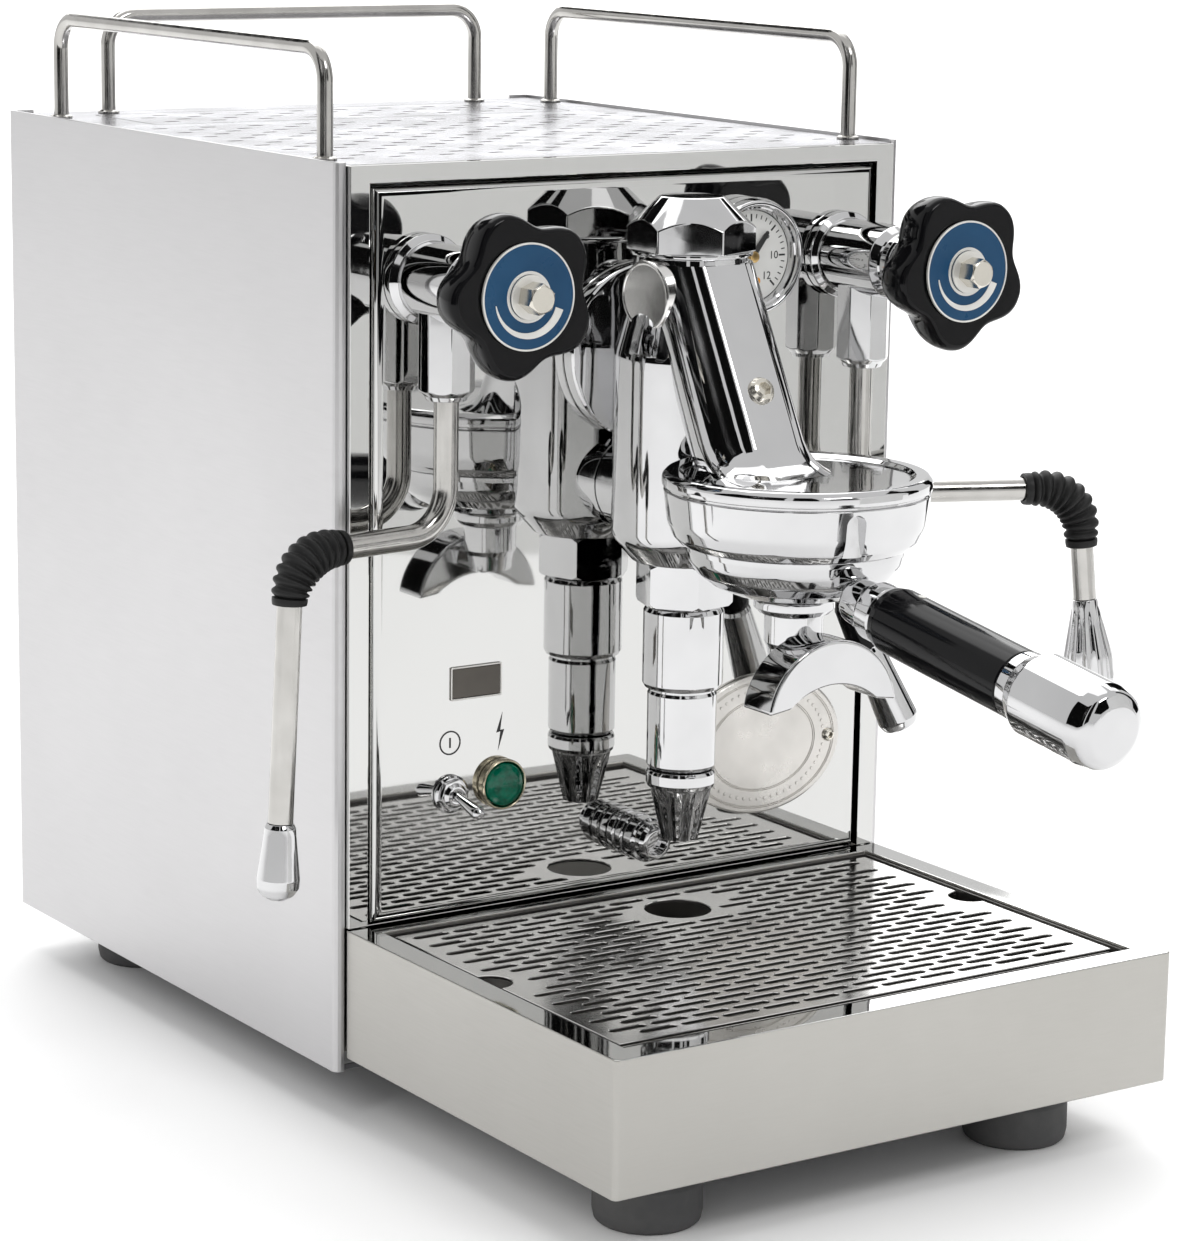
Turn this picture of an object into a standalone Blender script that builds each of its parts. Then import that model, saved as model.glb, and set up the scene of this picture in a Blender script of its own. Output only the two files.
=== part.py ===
"""A one-group espresso machine with a mirror-finished front, two needle valves and a drawer tray.

Metres, +Z up. The machine stands on Z = 0 and its front looks along -Y. Every piece is one closed
solid in its own object. Pieces that move hang from an empty placed on their joint's axis.
"""

import math

import bmesh
import bpy
from mathutils import Matrix, Vector

# Driving dimensions
BODY_WIDTH = 0.250
BODY_DEPTH = 0.265
BODY_BOTTOM = 0.0192
BODY_TOP = 0.3532
SHEET = 0.0015
GAP = 0.0003
GROUP_X = 0.002

# Drawer tray
TRAY_HALF = 0.1215
TRAY_DEPTH = 0.178
TRAY_BOTTOM = 0.025
TRAY_TOP = 0.0738
GRILLE_HALF = 0.1080
GRILLE_FRONT = -0.1600
GRILLE_BACK = -0.0140
GRILLE_TOP = 0.0725
DRAIN_RADIUS = 0.0125

# Front panel
PANEL_HALF = 0.1115
PANEL_BOTTOM = 0.0745
PANEL_TOP = 0.3443
PANEL_FACE = -0.0030
PANEL_BACK = 0.0120
ON_PANEL = PANEL_FACE - GAP
FASCIA_FACE = -0.0024
TOWARDS_USER = (0, -1, 0)

# Centres, in X and Z, of what is mounted on the front panel
GAUGE_X, GAUGE_Z = 0.0495, 0.3125
LAMP_X, LAMP_Z = -0.0567, 0.1215
TOGGLE_X, TOGGLE_Z = -0.0782, 0.1200
BADGE_X, BADGE_Z = 0.0625, 0.1222
BADGE_WIDEN = 1.36
TOGGLE_TILT = math.radians(12.0)

# Lid over the water tank, at the back of the top
LID_FRONT, LID_BACK = 0.1880, 0.2440

# Group: the column, its sloping neck and the bell that holds the portafilter
COLUMN = Vector((GROUP_X, -0.0365, 0.0))
COLUMN_RADIUS = 0.0275
NECK_TOP = Vector((GROUP_X, -0.0386, 0.3172))
NECK_LEAN = 0.549
NECK_RADIUS, NECK_FLAT = 0.0210, 0.0190
PLUG = Vector((-0.0145, -0.0400, 0.3050))
COLUMN_BOTTOM = 0.2060
COLUMN_TOP = 0.3190
BELL = Vector((GROUP_X, -0.1040, 0.0))
BELL_RADIUS = 0.0478
BELL_BOTTOM = 0.2235
BELL_RIM = 0.2490
BELL_BORE = 0.0385
BELL_CEILING = 0.2410

# Portafilter handle: its axis falls towards the user
HANDLE_START = Vector((GROUP_X, -0.1597, 0.2061))
HANDLE_SLOPE = math.radians(8.2)
HANDLE_AXIS = Vector((0.0, -math.cos(HANDLE_SLOPE), -math.sin(HANDLE_SLOPE)))
GRIP_LENGTH = 0.0705
GRIP_RADIUS = 0.0119
CAP_LENGTH = 0.0470
CAP_RADIUS = 0.0147

# Brew lever
LEVER_PIVOT = Vector((0.0560, -0.0365, 0.2220))
LEVER_END = Vector((0.0945, -0.0510, 0.1350))

# Valves, knobs and wands
VALVE_Z = 0.3110
VALVE_RADIUS = 0.0140
VALVE_END = -0.0520
OUTLET_Y = -0.0193
OUTLET_BOTTOM = 0.2695
KNOB_RADIUS = 0.0298
KNOB_DEPTH = 0.0185
KNOB_WAVE = 0.0056
KNOB_LOBES = 5
WAND_RADIUS = 0.0045
WAND_BEND = 0.017

STEAM = {
    "name": "steam",
    "x": -0.091,
    "knob_back": -0.0530,
    "knob_turn": math.radians(40.0),
    "heading": math.radians(188.0),
    "reach": 0.069,
    "level": 0.2215,
    "lean": math.radians(3.0),
    "leg": 0.0950,
    "sleeve": 0.0175,
}
WATER = {
    "name": "water",
    "x": 0.095,
    "knob_back": -0.0610,
    "knob_turn": math.radians(47.0),
    "heading": math.radians(-21.8),
    "reach": 0.089,
    "level": 0.2205,
    "lean": math.radians(5.7),
    "leg": 0.0440,
    "sleeve": 0.0230,
}

# Each wand's tip, from the tube's end down: distance, radius
TIPS = {
    "steam": (
        (0.0, 0.0048),
        (0.0015, 0.0056),
        (0.0040, 0.0058),
        (0.0200, 0.0078),
        (0.0225, 0.0077),
        (0.0255, 0.0060),
        (0.0275, 0.0030),
    ),
    "water": ((0.0, 0.0050), (0.0030, 0.0054), (0.0230, 0.0098), (0.0330, 0.0102), (0.0345, 0.0094)),
}

CHROME = ((0.80, 0.80, 0.80), 0.06, 1.0)
BRUSHED = ((0.62, 0.61, 0.60), 0.32, 1.0)
BLACK = ((0.012, 0.012, 0.013), 0.22, 0.0)
RUBBER = ((0.05, 0.05, 0.05), 0.75, 0.0)
DARK = ((0.07, 0.07, 0.075), 0.55, 0.0)
BLUE = ((0.028, 0.095, 0.19), 0.35, 0.0)
BRASS = ((0.66, 0.48, 0.22), 0.28, 1.0)
WHITE = ((0.80, 0.80, 0.78), 0.45, 0.0)
GREEN = ((0.02, 0.36, 0.12), 0.15, 0.0)
CLEAR = ((0.60, 0.64, 0.68), 0.20, 0.0)
PUMP_GREY = ((0.30, 0.31, 0.33), 0.50, 0.0)


# Helpers


def clear_scene():
    for old in list(bpy.data.objects):
        bpy.data.objects.remove(old, do_unlink=True)


def material(look):
    """One Principled material for each look, made the first time it is asked for."""
    colour, roughness, metallic = look
    name = "look_%.3f_%.3f_%.3f_%.2f" % (*colour, roughness)
    found = bpy.data.materials.get(name)
    if found:
        return found
    made = bpy.data.materials.new(name)
    made.use_nodes = True
    shader = made.node_tree.nodes["Principled BSDF"]
    shader.inputs["Base Color"].default_value = (*colour, 1.0)
    shader.inputs["Roughness"].default_value = roughness
    shader.inputs["Metallic"].default_value = metallic
    made.diffuse_color = (*colour, 1.0)
    return made


def empty(name, at, parent=None):
    """An empty at a joint. Its rest place is kept as a property for whatever hangs from it."""
    made = bpy.data.objects.new(name, None)
    made.empty_display_size = 0.02
    bpy.context.scene.collection.objects.link(made)
    made.parent = parent
    made["at"] = tuple(at)
    made.location = Vector(at) - Vector(parent["at"]) if parent else Vector(at)
    return made


def put(name, bm, look, parent, smooth=True):
    """Turns a bmesh in machine coordinates into an object that hangs from its empty."""
    bmesh.ops.remove_doubles(bm, verts=bm.verts[:], dist=1e-6)
    bmesh.ops.recalc_face_normals(bm, faces=bm.faces[:])
    bmesh.ops.translate(bm, verts=bm.verts[:], vec=-Vector(parent["at"]))
    mesh = bpy.data.meshes.new(name)
    bm.to_mesh(mesh)
    bm.free()
    mesh.materials.append(material(look))
    if smooth:
        mesh.shade_smooth()
        mesh.set_sharp_from_angle(angle=math.radians(35))
    made = bpy.data.objects.new(name, mesh)
    bpy.context.scene.collection.objects.link(made)
    made.parent = parent
    return made


def box(low, high):
    bm = bmesh.new()
    add_box(bm, low, high)
    return bm


def add_box(bm, low, high):
    low, high = Vector(low), Vector(high)
    made = bmesh.ops.create_cube(bm, size=1.0)["verts"]
    bmesh.ops.scale(bm, vec=high - low, verts=made)
    bmesh.ops.translate(bm, vec=(low + high) / 2, verts=made)


def turned(profile, at, axis=(0, 0, 1), sides=24):
    """A solid of revolution. profile holds (radius, height along the axis) and is closed at the axis
    when it starts and ends there, or on itself when it doesn't."""
    bm = bmesh.new()
    points = [bm.verts.new((radius, 0.0, height)) for radius, height in profile]
    edges = [bm.edges.new(pair) for pair in zip(points, points[1:])]
    if profile[0][0] > 0:
        edges.append(bm.edges.new((points[-1], points[0])))
    bmesh.ops.spin(
        bm,
        geom=points + edges,
        axis=(0, 0, 1),
        cent=(0, 0, 0),
        angle=math.tau,
        steps=sides,
        use_merge=True,
    )
    turn = Vector((0, 0, 1)).rotation_difference(Vector(axis).normalized()).to_matrix().to_4x4()
    bmesh.ops.transform(bm, matrix=Matrix.Translation(Vector(at)) @ turn, verts=bm.verts[:])
    return bm


def prism(outline, low, high, axis="Z"):
    """Extrudes a flat outline. Along Z it is (x, y), along Y it is (x, z), along X it is (y, z)."""
    place = {
        "Z": lambda a, b: (a, b, low),
        "Y": lambda a, b: (a, low, b),
        "X": lambda a, b: (low, a, b),
    }[axis]
    step = {"Z": (0, 0, 1), "Y": (0, 1, 0), "X": (1, 0, 0)}[axis]
    bm = bmesh.new()
    face = bm.faces.new([bm.verts.new(place(a, b)) for a, b in outline])
    new = bmesh.ops.extrude_face_region(bm, geom=[face])["geom"]
    moved = [item for item in new if isinstance(item, bmesh.types.BMVert)]
    bmesh.ops.translate(bm, vec=Vector(step) * (high - low), verts=moved)
    bmesh.ops.recalc_face_normals(bm, faces=bm.faces[:])
    return bm


def arc(centre, radius, start, end, steps):
    """Points on a circle, from start to end in degrees."""
    angles = [math.radians(start + (end - start) * i / steps) for i in range(steps + 1)]
    return [(centre[0] + radius * math.cos(a), centre[1] + radius * math.sin(a)) for a in angles]


def polygon(centre, across_flats, sides, turn=0.0):
    radius = across_flats / 2 / math.cos(math.pi / sides)
    return arc(centre, radius, turn, turn + 360, sides)[:-1]


def rounded_path(corners, radius, steps=6):
    """Runs through corner points with a circular bend at each inner one."""
    path = [corners[0]]
    for before, corner, after in zip(corners, corners[1:], corners[2:]):
        into = (corner - before).normalized()
        out = (after - corner).normalized()
        bend = into.angle(out)
        cut = radius * math.tan(bend / 2)
        centre = corner + (out - into).normalized() * (radius / math.cos(bend / 2))
        spoke = (corner - into * cut) - centre
        turn_axis = into.cross(out).normalized()
        for i in range(steps + 1):
            path.append(centre + Matrix.Rotation(bend * i / steps, 3, turn_axis) @ spoke)
    path.append(corners[-1])
    return path


def swept(path, radii, sides=12, inner=None):
    """A round bar along a path, with one radius for each point. With inner it is a sleeve."""
    bm = bmesh.new()
    steps = len(path)
    tangents = []
    for i in range(steps):
        ahead, behind = path[min(i + 1, steps - 1)], path[max(i - 1, 0)]
        tangents.append((ahead - behind).normalized())
    side = tangents[0].orthogonal().normalized()

    def ring(i, radius):
        up = tangents[i].cross(side)
        angles = [math.tau * k / sides for k in range(sides)]
        return [
            bm.verts.new(path[i] + (side * math.cos(a) + up * math.sin(a)) * radius) for a in angles
        ]

    def bridge(first, second):
        for k in range(sides):
            after = (k + 1) % sides
            bm.faces.new((first[k], first[after], second[after], second[k]))

    outer_rings, inner_rings = [], []
    for i in range(steps):
        if i:
            side = tangents[i - 1].rotation_difference(tangents[i]) @ side
        outer_rings.append(ring(i, radii[i]))
        if inner:
            inner_rings.append(ring(i, inner))
    for rings in (outer_rings, inner_rings):
        for first, second in zip(rings, rings[1:]):
            bridge(first, second)
    if inner:
        bridge(outer_rings[0], inner_rings[0])
        bridge(outer_rings[-1], inner_rings[-1])
    else:
        bm.faces.new(outer_rings[0])
        bm.faces.new(outer_rings[-1])
    return bm


def tool(bm, name):
    """A hidden helper for a Boolean."""
    bmesh.ops.remove_doubles(bm, verts=bm.verts[:], dist=1e-6)
    bmesh.ops.recalc_face_normals(bm, faces=bm.faces[:])
    mesh = bpy.data.meshes.new(name)
    bm.to_mesh(mesh)
    bm.free()
    made = bpy.data.objects.new(name, mesh)
    bpy.context.scene.collection.objects.link(made)
    made.hide_render = True
    made.display_type = "WIRE"
    return made


def combine(target, bm, operation="DIFFERENCE"):
    """Adds a Boolean with a helper that hangs from the same empty as its target."""
    bmesh.ops.translate(bm, verts=bm.verts[:], vec=-Vector(target.parent["at"]))
    helper = tool(bm, target.name + "_tool")
    helper.parent = target.parent
    modifier = target.modifiers.new(operation.title(), "BOOLEAN")
    modifier.operation = operation
    modifier.object = helper
    modifier.solver = "EXACT"


def slot_grid(bm, columns, rows, size, pitch, start, low, high, keep_out=None):
    """Staggered rows of slots that run along X. keep_out is a circle with no slots in it."""
    for row in range(rows):
        shift = pitch[0] / 2 if row % 2 else 0.0
        y = start[1] + row * pitch[1]
        for column in range(columns - row % 2):
            x = start[0] + column * pitch[0] + shift
            near = Vector((max(x, min(x + size[0], keep_out[0])), y)) if keep_out else None
            if near and (near - Vector(keep_out[:2])).length < keep_out[2]:
                continue
            add_box(bm, (x, y - size[1] / 2, low), (x + size[0], y + size[1] / 2, high))


# Body


def side_panel(name, side, machine):
    """A folded sheet: a narrow lip turned in at the front and a wider one at the back."""
    outer, inner = BODY_WIDTH / 2, BODY_WIDTH / 2 - SHEET
    front_lip, rear_lip, bend = 0.0040, 0.0100, 0.0025
    outline = [(outer - front_lip, 0.0)]
    outline += arc((outer - bend, bend), bend, -90, 0, 3)
    outline += [(outer, BODY_DEPTH), (outer - rear_lip, BODY_DEPTH)]
    outline += [(outer - rear_lip, BODY_DEPTH - SHEET), (inner, BODY_DEPTH - SHEET)]
    outline += [(inner, SHEET), (outer - front_lip, SHEET)]
    points = [(side * x, y) for x, y in outline]
    put(name, prism(points, BODY_BOTTOM, BODY_TOP), BRUSHED, machine)


def body_shell(machine):
    inside = BODY_WIDTH / 2 - SHEET - GAP
    floor_front, floor_top = -0.165, BODY_BOTTOM + 0.002
    tongue = 0.105
    outline = [(-inside, 0.002), (-tongue, 0.002), (-tongue, floor_front), (tongue, floor_front)]
    outline += [(tongue, 0.002), (inside, 0.002), (inside, 0.2610), (-inside, 0.2610)]
    put("base_plate", prism(outline, BODY_BOTTOM, floor_top), DARK, machine)
    side_panel("side_panel_left", -1, machine)
    side_panel("side_panel_right", 1, machine)

    back = BODY_DEPTH - SHEET - GAP
    plate = box((-inside, back - SHEET, BODY_BOTTOM), (inside, back, 0.3502))
    back_panel = put("back_panel", plate, BRUSHED, machine, smooth=False)
    vents = bmesh.new()
    for row in range(6):
        for x in (-0.080, 0.035):
            z = 0.235 + row * 0.012
            add_box(vents, (x, back - 0.01, z), (x + 0.045, back + 0.01, z + 0.0035))
    add_box(vents, (0.0640, back - 0.01, 0.0450), (0.0920, back + 0.01, 0.0690))
    combine(back_panel, vents)

    frame = box((-inside, SHEET + GAP, floor_top + GAP), (inside, 2 * SHEET + GAP, 0.3502))
    front_frame = put("front_frame", frame, CHROME, machine, smooth=False)
    fascia = box((-0.1207, FASCIA_FACE, TRAY_TOP + GAP), (0.1207, SHEET, 0.3520))
    combine(front_frame, fascia, "UNION")
    joggle = box((-0.1150, SHEET - 0.001, 0.0900), (0.1150, 2 * SHEET, 0.3400))
    combine(front_frame, joggle, "UNION")
    hole = PANEL_HALF + 0.0012
    window = box((-hole, -0.01, PANEL_BOTTOM - 0.0012), (hole, 0.02, PANEL_TOP + 0.0012))
    combine(front_frame, window)


def front_panel(machine):
    """A shallow pan whose folded edges are rounded, with holes for what is mounted in it."""
    skin = 0.0012
    low = Vector((-PANEL_HALF, PANEL_FACE, PANEL_BOTTOM))
    high = Vector((PANEL_HALF, PANEL_BACK, PANEL_TOP))
    bm = box(low, high)
    edges = [
        edge for edge in bm.edges if all(abs(vert.co.y - PANEL_FACE) < 1e-6 for vert in edge.verts)
    ]
    bmesh.ops.bevel(bm, geom=edges, offset=0.0035, segments=3, profile=0.5, affect="EDGES")
    pan = put("front_panel", bm, CHROME, machine)
    inset = Vector((skin, skin, skin))
    combine(pan, box(low + inset, high - inset + Vector((0, 0.01, 0))))
    holes = bmesh.new()
    front, back = PANEL_FACE - 0.01, PANEL_FACE + 0.01
    add_box(holes, (-0.0775, front, 0.1555), (-0.0575, back, 0.1670))
    round_holes = ((GAUGE_X, GAUGE_Z, 0.0195), (LAMP_X, LAMP_Z, 0.0086), (TOGGLE_X, TOGGLE_Z, 0.0036))
    for x, z, radius in round_holes:
        ring = turned([(0, front), (radius, front), (radius, back), (0, back)], (0, 0, 0), (0, 0, 1), 20)
        bmesh.ops.rotate(ring, verts=ring.verts[:], matrix=Matrix.Rotation(math.radians(-90), 3, "X"))
        bmesh.ops.translate(ring, verts=ring.verts[:], vec=(x, 0, z))
        mesh = bpy.data.meshes.new("hole")
        ring.to_mesh(mesh)
        ring.free()
        holes.from_mesh(mesh)
    combine(pan, holes)


def cup_tray(machine):
    inside = BODY_WIDTH / 2 - SHEET - GAP
    top, under = 0.3520, 0.3505
    plate = box((-inside, 0.0018, under), (inside, 0.2630, top))
    deck = put("cup_tray", plate, CHROME, machine, smooth=False)
    opening = bmesh.new()
    add_box(opening, (-0.0980, LID_FRONT, under - 0.01), (0.0980, LID_BACK, top + 0.01))
    slots = {"columns": 8, "rows": 8, "size": (0.0140, 0.0030), "pitch": (0.0250, 0.0170)}
    slot_grid(opening, **slots, start=(-0.0945, 0.0380), low=under - 0.01, high=top + 0.01)
    combine(deck, opening)


def tank_and_lid(machine):
    tank_lift = empty("water_tank_lift", (0.0, 0.216, 0.0), machine)
    lid_lift = empty("tank_lid_lift", (0.0, 0.216, 0.351), tank_lift)
    wall, top = 0.0025, 0.3400
    tank = box((-0.0950, 0.1920, 0.0218), (0.0950, 0.2400, top))
    vessel = put("water_tank", tank, CLEAR, tank_lift, smooth=False)
    hollow = box((-0.0950 + wall, 0.1920 + wall, 0.0218 + wall), (0.0950 - wall, 0.2400 - wall, top + 0.01))
    combine(vessel, hollow)
    plate = box((-0.0975, LID_FRONT + 0.0005, 0.3505), (0.0975, LID_BACK - 0.0005, 0.3520))
    lid = put("tank_lid", plate, CHROME, lid_lift, smooth=False)
    cuts = bmesh.new()
    slot_grid(cuts, 7, 3, (0.0140, 0.0030), (0.0250, 0.0150), (-0.0820, 0.2010), 0.34, 0.36)
    combine(lid, cuts)


def cup_rails(machine):
    """Three bent rods. The front stays open so that cups slide on."""
    foot, crown, bend = 0.3523, 0.3915, 0.0120
    runs = {
        "cup_rail_left": ((-0.1170, 0.0220), (-0.1170, 0.2340)),
        "cup_rail_right": ((0.1170, 0.0220), (0.1170, 0.2340)),
        "cup_rail_back": ((-0.0880, 0.2500), (0.0880, 0.2500)),
    }
    for name, ((x0, y0), (x1, y1)) in runs.items():
        corners = [Vector((x0, y0, foot)), Vector((x0, y0, crown))]
        corners += [Vector((x1, y1, crown)), Vector((x1, y1, foot))]
        path = rounded_path(corners, bend)
        put(name, swept(path, [0.0030] * len(path), 10), CHROME, machine)


def feet(machine):
    profile = [(0, 0), (0.0175, 0), (0.0193, 0.0018), (0.0193, 0.0170), (0.0180, BODY_BOTTOM - GAP)]
    profile.append((0, BODY_BOTTOM - GAP))
    places = {"front_left": (-0.082, -0.1404), "front_right": (0.082, -0.1404)}
    places.update({"rear_left": (-0.088, 0.2250), "rear_right": (0.088, 0.2250)})
    for place, (x, y) in places.items():
        put("foot_" + place, turned(profile, (x, y, 0)), RUBBER, machine)


def internals(machine):
    centre = Vector((0.0, 0.100, 0.262))
    shell = [(0, -0.0880), (0.0300, -0.0860), (0.0500, -0.0790), (0.0550, -0.0700)]
    shell += [(0.0550, 0.0700), (0.0500, 0.0790), (0.0300, 0.0860), (0, 0.0880)]
    put("boiler", turned(shell, centre, (1, 0, 0)), BRASS, machine)
    coil = [(0, -0.055), (0.0110, -0.055), (0.0110, -0.030), (0.0240, -0.030), (0.0240, 0.030)]
    coil += [(0.0110, 0.030), (0.0110, 0.055), (0, 0.055)]
    put("pump", turned(coil, (-0.050, 0.110, 0.0500), (1, 0, 0), 16), PUMP_GREY, machine)
    plate = box((0.0600, 0.2635, 0.0410), (0.0960, 0.2650, 0.0730))
    inlet = put("power_inlet", plate, BLACK, machine, smooth=False)
    combine(inlet, box((0.0645, 0.2400, 0.0455), (0.0915, 0.2640, 0.0685)), "UNION")
    combine(inlet, box((0.0665, 0.2430, 0.0475), (0.0895, 0.2700, 0.0665)))


# Tray


def tray(machine):
    slide = empty("drip_tray_slide", (0.0, -0.0890, 0.050), machine)
    lift = empty("drip_grille_lift", (0.0, -0.0870, 0.071), slide)
    back = -0.0008
    case = box((-TRAY_HALF, -TRAY_DEPTH, TRAY_BOTTOM), (TRAY_HALF, back, TRAY_TOP))
    drawer = put("drip_tray", case, BRUSHED, slide, smooth=False)
    hollow = bmesh.new()
    add_box(
        hollow,
        (-TRAY_HALF + SHEET, -TRAY_DEPTH + SHEET, TRAY_BOTTOM + SHEET),
        (TRAY_HALF - SHEET, back - SHEET, TRAY_TOP - SHEET),
    )
    combine(drawer, hollow)
    combine(drawer, box((-0.1110, -0.1670, 0.060), (0.1110, -0.0100, 0.080)))

    ledge, skin = 0.0600, 0.0010
    floor = TRAY_BOTTOM + SHEET + GAP
    upper_low, upper_high = Vector((-0.1106, -0.1666, ledge - skin)), Vector((0.1106, -0.0104, 0.0728))
    lower_low, lower_high = Vector((-0.1060, -0.1580, floor)), Vector((0.1060, -0.0160, ledge))
    liner = put("tray_liner", box(upper_low, upper_high), CHROME, slide, smooth=False)
    combine(liner, box(lower_low, lower_high), "UNION")
    wall = Vector((skin, skin, skin))
    combine(liner, box(upper_low + wall, upper_high - wall + Vector((0, 0, 0.01))))
    combine(liner, box(lower_low + wall, lower_high - wall + Vector((0, 0, 0.01))))

    grille = put("drip_grille", grille_block(0.0), CHROME, lift, smooth=False)
    combine(grille, grille_block(0.0012))
    cuts = bmesh.new()
    drain = (GROUP_X, COLUMN.y, 0.0210)
    rows = {"columns": 6, "rows": 13, "size": (0.0270, 0.0032), "pitch": (0.0330, 0.0105)}
    slot_grid(cuts, **rows, start=(-0.0960, -0.1500), low=0.06, high=0.08, keep_out=drain)
    combine(grille, cuts)
    hole = [(0, 0.06), (DRAIN_RADIUS, 0.06), (DRAIN_RADIUS, 0.08), (0, 0.08)]
    combine(grille, turned(hole, (GROUP_X, COLUMN.y, 0)))
    for side in (-1, 1):
        notch = [(0, 0.0650), (0.0080, 0.0650), (0.0080, 0.08), (0, 0.08)]
        combine(grille, turned(notch, (side * GRILLE_HALF, -0.0790, 0), sides=16))


def grille_block(inset):
    """The grille's outer block, or the hollow under it when inset by the sheet's thickness."""
    low = (-GRILLE_HALF + inset, GRILLE_FRONT + inset, 0.0603 - 10 * inset)
    high = (GRILLE_HALF - inset, GRILLE_BACK - inset, GRILLE_TOP - inset)
    return box(low, high)


# Things mounted on the front panel


def gauge(machine):
    hub = empty("gauge_needle_pivot", (GAUGE_X, -0.0095, GAUGE_Z), machine)
    centre = (GAUGE_X, 0, GAUGE_Z)
    case = [(0, -0.0180), (0.0188, -0.0180), (0.0188, 0.0033), (0.0222, 0.0033), (0.0222, 0.0115)]
    case += [(0.0212, 0.0130), (0.0200, 0.0130), (0.0192, 0.0118), (0.0192, 0.0070), (0, 0.0070)]
    put("gauge_case", turned(case, centre, TOWARDS_USER, 32), CHROME, machine)
    dial = [(0, 0.0073), (0.0188, 0.0073), (0.0188, 0.0080), (0, 0.0080)]
    put("gauge_dial", turned(dial, centre, TOWARDS_USER, 32), WHITE, machine)
    outline = [(-0.0014, -0.0058), (0.0014, -0.0058), (0.0009, 0.0100), (0.0004, 0.0112)]
    outline += [(-0.0004, 0.0112), (-0.0009, 0.0100)]
    hand = prism(outline, -0.0096, -0.0090, "Y")
    bmesh.ops.rotate(hand, verts=hand.verts[:], matrix=Matrix.Rotation(math.radians(38), 3, "Y"))
    bmesh.ops.translate(hand, verts=hand.verts[:], vec=(GAUGE_X, 0, GAUGE_Z))
    needle = put("gauge_needle", hand, BLACK, hub, smooth=False)
    boss = [(0, 0.0083), (0.0024, 0.0083), (0.0024, 0.0103), (0, 0.0103)]
    combine(needle, turned(boss, centre, TOWARDS_USER, 12), "UNION")


def panel_fittings(machine):
    display = box((-0.0790, -0.0050, 0.1535), (-0.0560, ON_PANEL, 0.1690))
    module = put("pid_controller", display, BLACK, machine, smooth=False)
    combine(module, box((-0.0770, -0.0045, 0.1560), (-0.0580, 0.0320, 0.1665)), "UNION")

    badge = [(0, 0.0033), (0.0276, 0.0033), (0.0276, 0.0049), (0.0270, 0.0053), (0, 0.0053)]
    plate = turned(badge, (0, 0, 0), TOWARDS_USER, 48)
    widen = Matrix.Translation((BADGE_X, 0, BADGE_Z)) @ Matrix.Diagonal((BADGE_WIDEN, 1, 1, 1))
    bmesh.ops.transform(plate, matrix=widen, verts=plate.verts[:])
    put("badge_plate", plate, BRUSHED, machine)

    bezel = [(0.0082, -0.0080), (0.0082, 0.0033), (0.0097, 0.0033), (0.0097, 0.0050), (0.0090, 0.0062)]
    bezel += [(0.0081, 0.0062), (0.0076, 0.0055), (0.0076, -0.0080)]
    centre = (LAMP_X, 0, LAMP_Z)
    put("lamp_bezel", turned(bezel, centre, TOWARDS_USER, 24), BRASS, machine)
    lens = [(0, -0.0075), (0.0072, -0.0075), (0.0072, 0.0060), (0.0052, 0.0078), (0, 0.0086)]
    put("lamp_lens", turned(lens, centre, TOWARDS_USER, 20), GREEN, machine)

    body = [(0.0020, -0.0150), (0.0033, -0.0150), (0.0033, 0.0033), (0.0072, 0.0033), (0.0072, 0.0052)]
    body += [(0.0050, 0.0056), (0.0045, 0.0075), (0.0036, 0.0082), (0.0020, 0.0082)]
    put("toggle_bushing", turned(body, (TOGGLE_X, 0, TOGGLE_Z), TOWARDS_USER, 20), CHROME, machine)
    pivot = empty("toggle_pivot", (TOGGLE_X, -0.0100, TOGGLE_Z), machine)
    start = Vector((TOGGLE_X, -0.0086, TOGGLE_Z))
    direction = Vector((0, -math.cos(TOGGLE_TILT), -math.sin(TOGGLE_TILT)))
    stages = ((0.0, 0.0017), (0.003, 0.0017), (0.013, 0.0026), (0.0155, 0.0026), (0.0168, 0.0015))
    path = [start + direction * distance for distance, _ in stages]
    put("toggle_lever", swept(path, [radius for _, radius in stages], 12), CHROME, pivot)


# Group


def neck_level(z, grow=0.0):
    """One level of the leaning neck: round, with a flat front face that spreads at the foot."""
    middle = NECK_TOP.y - (NECK_TOP.z - z) * NECK_LEAN
    edge = math.degrees(math.acos(NECK_FLAT / NECK_RADIUS))
    angles = [-edge, edge] + [edge + (360 - 2 * edge) * i / 24 for i in range(1, 24)]
    ring = []
    for angle in map(math.radians, angles):
        spread = grow * max(math.cos(angle), 0.0) ** 0.7
        across, ahead = NECK_RADIUS * math.sin(angle), NECK_RADIUS * math.cos(angle)
        ring.append(Vector((GROUP_X + across, middle - ahead - spread, z)))
    return ring


def loft(levels):
    """Joins outlines that have the same number of points, and closes both ends."""
    bm = bmesh.new()
    rings = [[bm.verts.new(point) for point in level] for level in levels]
    for first, second in zip(rings, rings[1:]):
        for k in range(len(first)):
            after = (k + 1) % len(first)
            bm.faces.new((first[k], first[after], second[after], second[k]))
    bm.faces.new(rings[0])
    bm.faces.new(rings[-1])
    bmesh.ops.recalc_face_normals(bm, faces=bm.faces[:])
    return bm


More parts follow.
